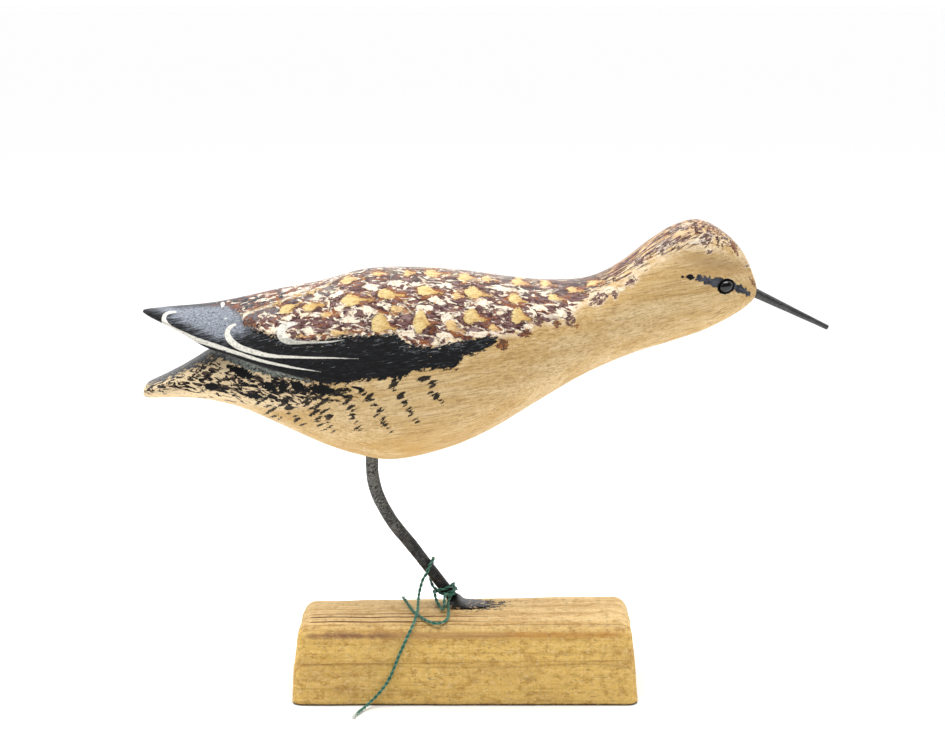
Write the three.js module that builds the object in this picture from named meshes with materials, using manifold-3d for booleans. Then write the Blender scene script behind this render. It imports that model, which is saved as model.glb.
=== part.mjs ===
// Shorebird decoy: a carved and painted wooden bird on one bent rod, set in a split block of pine.
// Millimetres. +X is towards the bill, +Z is up, and -Y is the side that a viewer sees.
// The origin is on the table, under the middle of the bird's length.
import * as THREE from 'three';
import { mergeVertices } from 'three/addons/utils/BufferGeometryUtils.js';
import Module from 'manifold-3d';

const wasm = await Module();
wasm.setup();
const { clamp, degToRad, lerp, smoothstep } = THREE.MathUtils;

// Bird
const BIRD_LENGTH = 250;        // wing tips to forehead
const BIRD_HEIGHT = 98.2;       // lowest point of the belly to the crown
const BIRD_WIDTH = 66;          // across the breast
const MANTLE_STEP = 1.0;        // height of the back feathers over the flight feathers
const WING_EDGE = 1.2;          // upright band along the lower edge of the wings
const BROW_DEPTH = 0.8;         // depth of the shallow channel over each eye
const BROW_SLOPE = degToRad(8);

// Bill
const BILL_LENGTH = 33;         // what stands out of the face
const BILL_ROOT = 3.9;          // diameter at the face
const BILL_TIP = 2.1;           // diameter at the blunt tip
const BILL_TENON = 8;           // what sits in the head
const BILL_SLOPE = degToRad(25.5);

// Eyes
const EYE_LENGTH = 5.8;
const EYE_HEIGHT = 4.6;
const EYE_THICKNESS = 3.6;
const EYE_PROUD = 1.1;          // what stands out of the head
const EYE_TILT = degToRad(25);

// Leg, one bent rod with a foot of filler that beds it on the block
const LEG_ROD = 4.6;            // diameter
const LEG_RISE = 62;            // block to belly
const LEG_REACH = 34.6;         // how far the foot stands in front of the hip
const LEG_IN_BODY = 18;
const LEG_IN_BASE = 14;
const FOOT_LENGTH = 13;         // from the rod towards the toes
const FOOT_WIDTH = 12;
const FOOT_HEIGHT = 1.5;        // over the block, halfway along
const FOOT_CLIMB = 3.4;         // how far it climbs the rod
const FOOT_HOLLOW = 2.6;        // how soon it sinks away from the rod
const FOOT_PEAK = 0.8;          // where it climbs highest, in front of the rod's axis
const FOOT_IN_BLOCK = 2;        // drawn this far into the block, then trimmed to its top
const FOOT_Y = -2.5;            // it is smeared more to the viewer's side

// Base block
const BASE_LENGTH = 141;        // at the underside
const BASE_DEPTH = 62;          // at the underside
const BASE_SIDE_HEIGHT = 32;    // up to the crease between face and top
const BASE_CROWN = 2.9;         // how far the crest stands over the crease
const BASE_RISE = 2.4;          // how much higher the crest is at the bill end
const BASE_CREST_Y = 4;         // the crest lies behind the middle
const BASE_BACK_FALL = 11.5;    // how far the top drops from the middle to the back face
const BASE_END_LEAN = 3.2;      // each end leans in by this much at the crease
const BASE_FACE_LEAN = 3;       // front and back lean in by this much at the crease
const BASE_ROUND = 5;           // radius of the worn edges
const FOOT_FROM_MIDDLE = -3.6;  // where the rod enters the block, from the middle of its length

// Fits
const CLEARANCE = 0.3;          // between a piece and the one that carries it

// String
const STRING = 1.4;             // diameter
const KNOT_HEIGHT = 4.6;        // along the rod
const KNOT_WALL = 1.9;
const KNOT_FROM_END = 6.4;      // middle of the knot, along the rod from the block

// Route of the long end: round the rod once, over the block's edge and out on to the table
const LONG_END = [
  [-21.0, -1.2, 41.1], [-22.1, 0.1, 41.9], [-22.7, 1.3, 43.2], [-23.2, 2.7, 45.4], [-22.9, 3.6, 48.5],
  [-22.2, 3.0, 51.6], [-21.8, 1.0, 53.6], [-21.9, -1.3, 53.8], [-22.9, -3.1, 52.2], [-23.9, -3.6, 50.1],
  [-24.6, -3.4, 48.1], [-26.0, -4.6, 46.1], [-26.8, -6.0, 43.9], [-27.4, -8.0, 41.7], [-27.7, -11.0, 39.8],
  [-27.8, -15.2, 38.2], [-27.9, -19.8, 36.7], [-28.7, -24.6, 34.9], [-30.0, -28.9, 32.6],
  [-31.6, -29.9, 29.5], [-33.6, -29.9, 24.9], [-35.6, -30.3, 20.4], [-37.5, -30.8, 15.5],
  [-39.8, -31.3, 10.6], [-42.6, -32.0, 6.7], [-45.9, -33.6, 3.5], [-48.8, -36.6, 1.5],
  [-50.6, -40.0, 1.0], [-52.0, -44.0, 1.0], [-53.2, -48.0, 1.0],
];

// Route of the short end: off the knot, a curl on the block's top, its tip just lifted
const SHORT_END = [
  [-15.2, -6.2, 38.0], [-15.5, -9.2, 36.5], [-15.3, -14.8, 35.4], [-15.5, -20.8, 34.4],
  [-16.9, -25.0, 33.8], [-19.7, -27.0, 33.6], [-22.6, -25.6, 33.8], [-25.1, -22.6, 34.1],
  [-27.5, -18.6, 34.5], [-29.8, -13.7, 35.0], [-31.8, -7.3, 35.6], [-33.3, -2.4, 36.2],
  [-34.6, 1.4, 36.9],
];

// Route of the small loop: it hangs under the knot, rests on the block and comes back up
const SMALL_LOOP = [
  [-21.3, -3.3, 40.1], [-20.9, -4.8, 38.6], [-20.2, -6.6, 37.0], [-19.1, -9.2, 35.8],
  [-18.1, -12.2, 35.5], [-17.5, -14.8, 36.4], [-17.2, -16.0, 38.4], [-17.0, -15.0, 40.3],
  [-16.8, -12.6, 41.2], [-16.5, -9.6, 40.9], [-15.8, -6.6, 39.9],
];

// Places that follow from the sizes above
const billReach = BILL_LENGTH * Math.cos(BILL_SLOPE) + BILL_TIP / 2 * Math.sin(BILL_SLOPE);
const tailX = -(BIRD_LENGTH + billReach) / 2;
const hipX = tailX + 0.373 * BIRD_LENGTH;
const footX = hipX + LEG_REACH;
const baseX = footX - FOOT_FROM_MIDDLE;
const footZ = blockTop(footX, 0);
const bellyZ = footZ + LEG_RISE;
const shareX = (share) => tailX + share * BIRD_LENGTH;
const shareZ = (share) => bellyZ + share * BIRD_HEIGHT;
const shareY = (share) => share * BIRD_WIDTH / 2;

// Ribs of body and tail, from tail to forehead, as shares: where the rib meets the back and
// where it meets the belly, along and up, then its half width and how high its widest place is
const RIBS = [
  [0.002, 0.304, 0.001, 0.281, 0.18, 0.5],
  [0.007, 0.322, 0.005, 0.262, 0.29, 0.5],
  [0.032, 0.351, 0.030, 0.260, 0.36, 0.5],
  [0.068, 0.399, 0.068, 0.259, 0.41, 0.5],
  [0.110, 0.463, 0.112, 0.249, 0.47, 0.5],
  [0.160, 0.530, 0.164, 0.215, 0.55, 0.48],
  [0.224, 0.622, 0.224, 0.148, 0.69, 0.46],
  [0.292, 0.722, 0.288, 0.073, 0.83, 0.44],
  [0.356, 0.790, 0.348, 0.022, 0.93, 0.43],
  [0.428, 0.804, 0.410, 0.000, 0.99, 0.43],
  [0.512, 0.791, 0.484, 0.039, 1.00, 0.43],
  [0.592, 0.765, 0.566, 0.126, 0.94, 0.43],
  [0.664, 0.749, 0.646, 0.251, 0.82, 0.44],
  [0.728, 0.762, 0.724, 0.365, 0.68, 0.45],
  [0.778, 0.824, 0.796, 0.443, 0.56, 0.47],
  [0.824, 0.914, 0.858, 0.493, 0.49, 0.48],
  [0.866, 0.980, 0.910, 0.537, 0.465, 0.48],
  [0.906, 1.000, 0.946, 0.580, 0.45, 0.47],
  [0.946, 0.949, 0.972, 0.621, 0.40, 0.45],
  [0.977, 0.868, 0.989, 0.654, 0.31, 0.45],
  [0.995, 0.766, 0.998, 0.684, 0.17, 0.5],
  [1.000, 0.725, 1.000, 0.715, 0.05, 0.5],
];

// Ribs of the folded wings, as shares: place along the length, ridge, lower edge, half width,
// and how far the underside hangs below the edge
const WING_RIBS = [
  [0.000, 0.627, 0.617, 0.03, 0.003],
  [0.008, 0.630, 0.608, 0.10, 0.004],
  [0.032, 0.636, 0.583, 0.24, 0.006],
  [0.068, 0.645, 0.545, 0.38, 0.008],
  [0.112, 0.656, 0.492, 0.52, 0.012],
  [0.160, 0.677, 0.460, 0.65, 0.034],
  [0.224, 0.714, 0.415, 0.78, 0.040],
  [0.288, 0.747, 0.378, 0.87, 0.026],
  [0.328, 0.770, 0.364, 0.91, 0.020],
  [0.376, 0.782, 0.366, 0.92, 0.020],
  [0.430, 0.778, 0.390, 0.86, 0.020],
  [0.480, 0.700, 0.440, 0.60, 0.020],
];

// Outline of the back feathers seen from the side, as shares: the tip, the inner edge,
// over the back, then the lower edge back to the tip
const MANTLE_OUTLINE = [
  [0.160, 0.628], [0.207, 0.652], [0.243, 0.687], [0.277, 0.716], [0.318, 0.768],
  [0.345, 0.850], [0.420, 0.850], [0.420, 0.551], [0.321, 0.544], [0.280, 0.522],
  [0.239, 0.530], [0.198, 0.566], [0.173, 0.594],
];

// Height of the block's top at a place, before its edges are worn round
function blockTop(x, y) {
  const along = (x - baseX) / (BASE_LENGTH / 2);
  const across = clamp((y - BASE_CREST_Y) / (BASE_DEPTH / 2 + BASE_CREST_Y), -1, 1);
  const crown = (BASE_CROWN + BASE_RISE / 2 * along) * (1 - across * across);
  const back = Math.max(y, 0) / (BASE_DEPTH / 2);
  return BASE_SIDE_HEIGHT + crown - BASE_BACK_FALL * back * back;
}

// A closed form from tail to head: place gives each point, t from 0 to 1 along it
function loft(rings, sides, place) {
  const geometry = new THREE.SphereGeometry(1, sides, rings);
  const position = geometry.attributes.position;
  for (let i = 0; i < position.count; i++) {
    const row = Math.floor(i / (sides + 1));
    const column = i % (sides + 1) % sides;
    const point = place(row / rings, 2 * Math.PI * column / sides, row === 0 || row === rings);
    position.setXYZ(i, point.x, point.y, point.z);
  }
  return geometry;
}

// Rows of a table read smoothly between its lines
function smoothRows(rows) {
  const steps = rows.map((row, i) => i / (rows.length - 1));
  const curve = new THREE.CubicInterpolant(steps, rows.flat(), rows[0].length);
  return (t) => Array.from(curve.evaluate(t));
}

// Signed power, which makes a round section fuller
const bulge = (value, power) => Math.sign(value) * Math.abs(value) ** (2 / power);

const rib = smoothRows(RIBS);
const wingRib = smoothRows(WING_RIBS);
const BODY_POWER = 2.15;        // fullness of the body's section
const ROOF = { crest: 1.45, saddle: 2.1 };

// One rib: its foot on the belly, its chord up to the back, its half width and widest place
function ribFrame(t) {
  const [topX, topZ, lowX, lowZ, half, widest] = rib(t);
  const low = new THREE.Vector3(shareX(lowX), 0, shareZ(lowZ));
  const chord = new THREE.Vector3(shareX(topX), 0, shareZ(topZ)).sub(low);
  return { low, chord, half: shareY(half), widest };
}

// Body, neck, head and tail. grow moves the upper side outwards, by a function of the place
// along the length.
function bodyForm(grow = () => 0) {
  return loft(2 * (RIBS.length - 1), 32, (t, angle, atPole) => {
    const { low, chord, half, widest } = ribFrame(t);
    if (atPole) return low.addScaledVector(chord, widest);
    const extra = grow(rib(t)[0]) * Math.max(Math.sin(angle), 0);
    const rise = bulge(Math.sin(angle), BODY_POWER) * (Math.sin(angle) > 0 ? 1 - widest : widest);
    const side = -bulge(Math.cos(angle), BODY_POWER) * (half + extra);
    const point = low.addScaledVector(chord, widest + rise);
    return new THREE.Vector3(point.x, side, point.z + extra);
  });
}

// The folded wings: a low roof at the tips that turns round towards the shoulders
function wingForm(grow = () => 0) {
  return loft(2 * (WING_RIBS.length - 1), 24, (t, angle, atPole) => {
    const [along, ridge, edge, half, under] = wingRib(t);
    const edgeZ = shareZ(edge);
    const ridgeZ = shareZ(ridge) + grow(along);
    if (atPole) return new THREE.Vector3(shareX(along), 0, (edgeZ + ridgeZ) / 2);
    const reach = Math.abs(Math.cos(angle));
    const side = -Math.cos(angle) * (shareY(half) + grow(along));
    const band = Math.min(WING_EDGE, (ridgeZ - edgeZ) / 3);
    const roof = (1 - reach ** lerp(ROOF.crest, ROOF.saddle, t)) ** (1 / (1 + t));
    const above = edgeZ + band + (ridgeZ - edgeZ - band) * roof;
    const below = edgeZ - under * BIRD_HEIGHT * (1 - reach * reach);
    return new THREE.Vector3(shareX(along), side, Math.sin(angle) > -1e-9 ? above : below);
  });
}

// A slab of the back feathers' outline, right through the bird's width
function mantleSlab() {
  const outline = new THREE.Shape(MANTLE_OUTLINE.map(([x, z]) => new THREE.Vector2(shareX(x), shareZ(z))));
  const slab = new THREE.ExtrudeGeometry(outline, { depth: BIRD_WIDTH * 2, bevelEnabled: false });
  return slab.rotateX(Math.PI / 2).translate(0, BIRD_WIDTH, 0);
}

// Half width of the body at a height on the rib that passes through a place
function flankAt(x, z) {
  let [near, far] = [0, 1];
  let frame = ribFrame(0.5);
  let height = 0.5;
  for (let i = 0; i < 40; i++) {
    const middle = (near + far) / 2;
    frame = ribFrame(middle);
    height = (z - frame.low.z) / frame.chord.z;
    if (frame.low.x + frame.chord.x * height < x) near = middle;
    else far = middle;
  }
  const rise = (height - frame.widest) / (height > frame.widest ? 1 - frame.widest : frame.widest);
  return frame.half * (1 - Math.abs(rise) ** BODY_POWER) ** (1 / BODY_POWER);
}

// Sets a form that was made round the origin on the side of the head, its Y axis along the
// surface's normal and its middle so far over the surface
function onHead(form, side, x, z, over) {
  const step = 1;
  const along = (flankAt(x + step, z) - flankAt(x - step, z)) / (2 * step);
  const up = (flankAt(x, z + step) - flankAt(x, z - step)) / (2 * step);
  const normal = new THREE.Vector3(-along, side, -up).normalize();
  const turn = new THREE.Quaternion().setFromUnitVectors(new THREE.Vector3(0, side, 0), normal);
  const place = new THREE.Vector3(x, side * flankAt(x, z), z).addScaledVector(normal, over);
  return form.applyQuaternion(turn).translate(place.x, place.y, place.z);
}

// Shallow channel between brow and cheek, a stretched ball that dips into the head
function browCutter(side) {
  const size = new THREE.Vector3(0.066 * BIRD_LENGTH, 6, 0.05 * BIRD_HEIGHT);
  const ball = new THREE.SphereGeometry(1, 20, 12).scale(size.x, size.y, size.z).rotateY(BROW_SLOPE);
  return onHead(ball, side, shareX(0.935), shareZ(0.826), size.y - BROW_DEPTH);
}

// Glass eye: an oval dome, long axis rising towards the bill
function eyeForm(side, gap = 0) {
  const depth = EYE_THICKNESS / 2;
  const ball = new THREE.SphereGeometry(1, 14, 8).rotateX(Math.PI / 2);
  ball.scale(EYE_LENGTH / 2 + gap, depth + gap, EYE_HEIGHT / 2 + gap).rotateY(-EYE_TILT);
  return onHead(ball, side, shareX(0.945), shareZ(0.741), EYE_PROUD - depth);
}

// Bill: a tapered, faceted rod with a blunt tip, let into the face
function billForm(gap = 0) {
  const root = BILL_ROOT / 2 + gap;
  const tip = BILL_TIP / 2 + gap;
  const profile = [[0, -BILL_TENON - gap], [root * 0.85, -BILL_TENON - gap], [root, 0],
    [lerp(root, tip, 0.45), BILL_LENGTH * 0.45], [tip, BILL_LENGTH - BILL_TIP / 7],
    [tip * 0.8, BILL_LENGTH], [0, BILL_LENGTH]];
  const lathe = new THREE.LatheGeometry(profile.map(([r, y]) => new THREE.Vector2(r, y)), 14);
  return lathe.rotateZ(-Math.PI / 2).rotateY(BILL_SLOPE).translate(shareX(1), 0, shareZ(0.694));
}

// Centre line of the rod: down from the hip, bent at the joint, and on into the block
function legCurve() {
  const bends = [[0, 0.9], [0.02, 0.822], [0.058, 0.745], [0.211, 0.581], [0.5, 0.37], [1, 0]];
  const points = bends.map(([x, z]) => new THREE.Vector3(hipX + x * LEG_REACH, 0, footZ + z * LEG_RISE));
  const last = points.at(-1).clone().sub(points.at(-2)).setLength(LEG_IN_BASE);
  const top = new THREE.Vector3(hipX, 0, bellyZ + LEG_IN_BODY);
  return new THREE.CatmullRomCurve3([top, ...points, points.at(-1).clone().add(last)], false, 'centripetal');
}

// A round bar carried along a curve
function tube(curve, radius, sides, steps) {
  const section = new THREE.Shape().absarc(0, 0, radius, 0, 2 * Math.PI);
  const options = { extrudePath: curve, steps, curveSegments: sides / 2, bevelEnabled: false };
  return new THREE.ExtrudeGeometry(section, options);
}

function rod(radius, sides = 12, steps = 24) {
  return tube(legCurve(), radius, sides, steps);
}

// Foot of filler: it climbs the rod in a hollow curve and thins out towards the toes
function footForm() {
  const start = footX - FOOT_WIDTH / 3;
  const length = footX + FOOT_LENGTH - start;
  return loft(16, 16, (t, angle, atPole) => {
    const x = start + length * t;
    const climb = FOOT_CLIMB * Math.exp(-(((x - footX - FOOT_PEAK) / FOOT_HOLLOW) ** 2));
    const round = Math.sqrt(Math.max(1 - (2 * t - 1) ** 4, 0));
    const half = FOOT_WIDTH / 2 * round * lerp(1, 0.8, t);
    const rise = Math.sin(angle) > 0 ? FOOT_HEIGHT * lerp(1.3, 0.6, t) + climb : FOOT_IN_BLOCK;
    const top = blockTop(x, 0) + (atPole ? 0 : Math.sin(angle) * rise * round);
    return new THREE.Vector3(x, FOOT_Y - (atPole ? 0 : Math.cos(angle) * half), top);
  });
}

// Split block: leaning faces, a crowned top that rises towards the bill, and worn edges.
// gap grows it on all sides but the underside.
function blockForm(gap = 0) {
  const half = new THREE.Vector2(BASE_LENGTH / 2, BASE_DEPTH / 2);
  const block = new THREE.BoxGeometry(2, 2, 1, 20, 10, 5);
  const position = block.attributes.position;
  const ease = (value) => Math.sin(value * Math.PI / 2);
  for (let i = 0; i < position.count; i++) {
    const box = new THREE.Vector3(ease(position.getX(i)) * half.x, ease(position.getY(i)) * half.y,
      (position.getZ(i) + 0.5) ** 0.8 * BASE_SIDE_HEIGHT);
    const core = new THREE.Vector3(clamp(box.x, BASE_ROUND - half.x, half.x - BASE_ROUND),
      clamp(box.y, BASE_ROUND - half.y, half.y - BASE_ROUND), Math.min(box.z, BASE_SIDE_HEIGHT - BASE_ROUND));
    const out = box.clone().sub(core);
    if (out.length() > 0) box.copy(core).addScaledVector(out.normalize(), BASE_ROUND);
    const level = box.z / BASE_SIDE_HEIGHT;
    const x = baseX + box.x * (1 - BASE_END_LEAN / half.x * level ** 1.5);
    const y = box.y * (1 - BASE_FACE_LEAN / half.y * level);
    position.setXYZ(i, x, y, level * blockTop(x, y));
  }
  return gap > 0 ? block.translate(0, 0, gap) : block;
}

// A solid that can be joined and cut, from a closed three.js geometry
function solid(geometry) {
  const bare = geometry.clone();
  bare.deleteAttribute('normal');
  bare.deleteAttribute('uv');
  const merged = mergeVertices(bare, 1e-4);
  const corners = merged.index.array;
  const kept = [];
  for (let i = 0; i < corners.length; i += 3) {
    const [a, b, c] = corners.subarray(i, i + 3);
    if (a !== b && b !== c && c !== a) kept.push(a, b, c);
  }
  const vertProperties = new Float32Array(merged.attributes.position.array);
  return new wasm.Manifold(new wasm.Mesh({ numProp: 3, vertProperties, triVerts: new Uint32Array(kept) }));
}

// The mesh of a solid, or of a plain geometry, with its own name and finish
function piece(name, shape, colour, roughness, metalness = 0) {
  let geometry = shape;
  if (!shape.isBufferGeometry) {
    const { vertProperties, triVerts } = shape.getMesh();
    geometry = new THREE.BufferGeometry();
    geometry.setAttribute('position', new THREE.BufferAttribute(new Float32Array(vertProperties), 3));
    geometry.setIndex(new THREE.BufferAttribute(new Uint32Array(triVerts), 1));
    geometry.computeVertexNormals();
  }
  const finish = new THREE.MeshStandardMaterial({ color: colour, roughness, metalness });
  const mesh = new THREE.Mesh(geometry, finish);
  mesh.name = name;
  return mesh;
}

function birdSolid() {
  const fade = (share) => MANTLE_STEP * (1 - smoothstep(share, 0.25, 0.4));
  const mantle = solid(wingForm(fade)).add(solid(bodyForm(fade))).intersect(solid(mantleSlab()));
  let bird = solid(bodyForm()).add(solid(wingForm())).add(mantle);
  for (const side of [-1, 1]) {
    bird = bird.subtract(solid(browCutter(side))).subtract(solid(eyeForm(side, CLEARANCE)));
  }
  return bird.subtract(solid(billForm(CLEARANCE))).subtract(solid(rod(LEG_ROD / 2 + CLEARANCE)));
}

function legSolid() {
  const foot = solid(footForm()).subtract(solid(blockForm(CLEARANCE)));
  return solid(rod(LEG_ROD / 2)).add(foot);
}

const blockSolid = () => solid(blockForm()).subtract(solid(rod(LEG_ROD / 2 + CLEARANCE)));

// A plain tube for a stretch of string
function stringTube(route) {
  const curve = new THREE.CatmullRomCurve3(route.map(([x, y, z]) => new THREE.Vector3(x, y, z)));
  return tube(curve, STRING / 2, 8, Math.round(curve.getLength() / (2.4 * STRING)));
}

// The turns of string round the rod, as one ring of their outer shape
function knotRing() {
  const leg = legCurve();
  const at = 1 - (LEG_IN_BASE + KNOT_FROM_END) / leg.getLength();
  const inner = LEG_ROD / 2 + CLEARANCE;
  const outer = inner + KNOT_WALL;
  const half = KNOT_HEIGHT / 2;
  const worn = KNOT_WALL / 3;
  const profile = [[inner, -half], [outer - worn, -half], [outer, worn - half], [outer, half - worn],
    [outer - worn, half], [inner, half], [inner, -half]];
  const ring = new THREE.LatheGeometry(profile.map(([r, y]) => new THREE.Vector2(r, y)), 16);
  const turn = new THREE.Quaternion().setFromUnitVectors(new THREE.Vector3(0, 1, 0), leg.getTangentAt(at));
  const place = leg.getPointAt(at);
  return ring.applyQuaternion(turn).translate(place.x, place.y, place.z);
}

const decoy = new THREE.Group();
decoy.add(
  piece('carved_bird', birdSolid(), 0xc9a57a, 0.7),
  piece('bill', solid(billForm()), 0x2b2d30, 0.5, 0.2),
  piece('right_eye', solid(eyeForm(-1)), 0x0d0d0f, 0.08),
  piece('left_eye', solid(eyeForm(1)), 0x0d0d0f, 0.08),
  piece('leg', legSolid(), 0x37373a, 0.55, 0.2),
  piece('base', blockSolid(), 0xd0a868, 0.75),
  piece('string_knot', solid(knotRing()), 0x1f5c48, 0.85),
  piece('string_loop', stringTube(SMALL_LOOP), 0x1f5c48, 0.85),
  piece('string_short_end', stringTube(SHORT_END), 0x1f5c48, 0.85),
  piece('string_long_end', stringTube(LONG_END), 0x1f5c48, 0.85),
);

export default decoy;
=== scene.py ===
# Shorebird decoy: a carved and painted wooden bird on one bent rod, set in a split block of pine.
# Metres. +X is towards the bill, +Z is up, and -Y is the side that a viewer sees.
import math

import bpy
import numpy as np
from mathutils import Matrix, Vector


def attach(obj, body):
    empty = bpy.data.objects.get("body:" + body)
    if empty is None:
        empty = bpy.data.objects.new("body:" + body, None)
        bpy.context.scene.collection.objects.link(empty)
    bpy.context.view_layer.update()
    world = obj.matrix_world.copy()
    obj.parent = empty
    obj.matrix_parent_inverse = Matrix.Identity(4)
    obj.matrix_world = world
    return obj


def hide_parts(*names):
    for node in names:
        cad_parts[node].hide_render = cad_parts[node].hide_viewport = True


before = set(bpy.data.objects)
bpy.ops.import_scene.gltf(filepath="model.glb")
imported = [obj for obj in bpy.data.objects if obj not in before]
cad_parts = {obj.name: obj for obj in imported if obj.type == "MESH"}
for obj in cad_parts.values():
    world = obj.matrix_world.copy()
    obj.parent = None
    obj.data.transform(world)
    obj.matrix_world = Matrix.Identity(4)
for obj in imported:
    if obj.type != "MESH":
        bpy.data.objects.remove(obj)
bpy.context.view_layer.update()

# The view: a long lens, a little above the decoy, square to its side.
LENS = 85.0
SENSOR = 36.0
VIEW_DISTANCE = 0.91481
VIEW_SLOPE = math.radians(10)
VIEW_MIDDLE = Vector((-0.005535, 0, 0.129898))

lens = bpy.data.cameras.new("view")
lens.lens = LENS
lens.sensor_width = SENSOR
lens.clip_start = 0.01
lens.clip_end = 50
camera = bpy.data.objects.new("view", lens)
bpy.context.collection.objects.link(camera)
towards_view = Vector((0, -math.cos(VIEW_SLOPE), math.sin(VIEW_SLOPE)))
camera.location = VIEW_MIDDLE + towards_view * VIEW_DISTANCE
camera.rotation_euler = (math.pi / 2 - VIEW_SLOPE, 0, 0)
bpy.context.scene.camera = camera

# The string, two plies of dyed green twine laid together. It is knotted round the rod above the
# block, with one small loop, a short end that curls on the block and a long end that takes a
# turn round the rod and then runs down the block's front to the table.
MM = 0.001
STRING = 0.0014
PLY_OFFSET = 0.42       # of the string's radius, from its middle to the middle of a ply
PLY_RADIUS = 0.56       # of the string's radius
PLY_TURN = 0.0047       # length of string in one whole turn of its plies
RING_STEP = 0.00022     # from ring to ring along it
RING_SIDES = 20
DEEP_GREEN = (0.003, 0.040, 0.025)
MID_GREEN = (0.020, 0.165, 0.108)
PALE_GREEN = (0.300, 0.560, 0.440)
BLEACHED_TIP = (0.680, 0.740, 0.690)
BLEACHED_FROM = (-0.0512, -0.0530)     # along X, near the long end's tip
FRAYED_LENGTH = 0.0035  # over which the plies part at a tip
DRAWN_IN = 0.0005       # length of each end that is drawn in
FIBRE_LENGTH = 0.0016
FIBRES_ROUND = 4.0

# The rod's axis where the knot sits, with the directions down it, to its upper right and
# towards the viewer; here and in the string's routes, lengths are in millimetres
ROD_POINT = np.array((-20.0, 0, 45.3))
ROD_DOWN = np.array((0.6130, 0, -0.7900))
ROD_SIDE = np.array((0.7900, 0, 0.6130))
ROD_FRONT = np.array((0, -1.0, 0))

LONG_END = [
    (-21, -1.2, 41.1), (-22.1, 0.1, 41.9), (-22.7, 1.3, 43.2), (-23.2, 2.7, 45.4), (-22.9, 3.6, 48.5),
    (-22.2, 3, 51.6), (-21.8, 1, 53.6), (-21.9, -1.3, 53.8), (-22.9, -3.1, 52.2), (-23.9, -3.6, 50.1),
    (-24.6, -3.4, 48.1), (-26, -4.6, 46.1), (-26.8, -6, 43.9), (-27.4, -8, 41.7), (-27.7, -11, 39.8),
    (-27.8, -15.2, 38.2), (-27.9, -19.8, 36.7), (-28.7, -24.6, 34.9), (-30, -28.9, 32.6),
    (-31.6, -29.9, 29.5), (-33.6, -29.9, 24.9), (-35.6, -30.3, 20.4), (-37.5, -30.8, 15.5),
    (-39.8, -31.3, 10.6), (-42.6, -32, 6.7), (-45.9, -33.6, 3.5), (-48.8, -36.6, 1.5), (-50.6, -40, 1),
    (-52, -44, 1), (-53.2, -48, 1),
]
SHORT_END = [
    (-15.2, -6.2, 38), (-15.5, -9.2, 36.5), (-15.3, -14.8, 35.4), (-15.5, -20.8, 34.4),
    (-16.9, -25, 33.8), (-19.7, -27, 33.6), (-22.6, -25.6, 33.8), (-25.1, -22.6, 34.1),
    (-27.5, -18.6, 34.5), (-29.8, -13.7, 35), (-31.8, -7.3, 35.6), (-33.3, -2.4, 36.2),
    (-34.6, 1.4, 36.9),
]
SMALL_LOOP = [
    (-21.3, -3.3, 40.1), (-20.9, -4.8, 38.6), (-20.2, -6.6, 37), (-19.1, -9.2, 35.8),
    (-18.1, -12.2, 35.5), (-17.5, -14.8, 36.4), (-17.2, -16, 38.4), (-17, -15, 40.3),
    (-16.8, -12.6, 41.2), (-16.5, -9.6, 40.9), (-15.8, -6.6, 39.9),
]
# Where the string lies on the rod: how far down it, degrees round it from its upper right
# towards the viewer, and how far from its axis
TUCKED_END = [
    (8.9, 48, 3.15), (8.7, 80, 3.7),
]
TURNS = [
    (3.4, 167, 4.7), (4.1, -171, 4.5), (5.8, -140, 4.55), (7.1, -102, 3.9), (7.9, -62, 3.2),
    (8.4, -20, 3.3), (8.4, 14, 3.35), (7.8, 52, 3.15), (7, 90, 3.1), (6.3, 126, 3.1), (5.6, 160, 3.1),
    (5.4, -168, 3.1), (5.8, -128, 3.1), (6.2, -88, 3.1), (6.3, -48, 3.4), (6.15, -14, 3.75),
    (5.85, 16, 3.7), (5.4, 50, 3.3), (4.9, 84, 3.1), (4.2, 116, 3.15), (3.5, 142, 3.35),
]
OVER_THE_TURNS = [
    (7.3, -32, 3.1), (7.2, 0, 3.15), (7.2, 32, 4.1), (7.5, 62, 4.9),
]


def placed(name, shape):
    """An object that shows a mesh, lamp or lens in the scene."""
    made = bpy.data.objects.new(name, shape)
    bpy.context.collection.objects.link(made)
    return made


def new_piece(name, points, faces, finish=None):
    """A smooth object with its place in its mesh, from its points and the corners of its faces."""
    mesh = bpy.data.meshes.new(name)
    mesh.from_pydata(points.tolist(), [], faces)
    mesh.polygons.foreach_set("use_smooth", np.full(len(mesh.polygons), True))
    if finish:
        mesh.materials.append(finish)
    return placed(name, mesh)


def keep(mesh, name, values):
    """Stores a number, or three, for each point of a mesh under a name that its finish reads."""
    values = np.asarray(values, float)
    kind, field = ("FLOAT", "value") if values.ndim == 1 else ("FLOAT_VECTOR", "vector")
    mesh.attributes.new(name, kind, "POINT").data.foreach_set(field, values.ravel())


def closed_form(rings, poles):
    """Points and faces of a form from rings of points that follow each other along it: quads
    between the rings, then a fan of triangles to one more point at either end."""
    count, sides = rings.shape[:2]
    ring, side = np.meshgrid(np.arange(count - 1), np.arange(sides), indexing="ij")
    here, after = ring * sides + side, ring * sides + (side + 1) % sides
    quads = np.stack([here, after, after + sides, here + sides], axis=-1).reshape(-1, 4)
    around = np.arange(sides)
    after = (around + 1) % sides
    pole, last = np.full(sides, count * sides), (count - 1) * sides
    caps = np.vstack([np.stack([pole, after, around], axis=1),
                      np.stack([pole + 1, last + around, last + after], axis=1)])
    return np.vstack([rings.reshape(-1, 3), poles]), quads.tolist() + caps.tolist()


def ring_angles(sides):
    return np.linspace(0, 2 * np.pi, sides, endpoint=False)


def length_along(line):
    """How far along a line each of its points lies."""
    return np.concatenate([[0], np.cumsum(np.linalg.norm(np.diff(line, axis=0), axis=1))])


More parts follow.
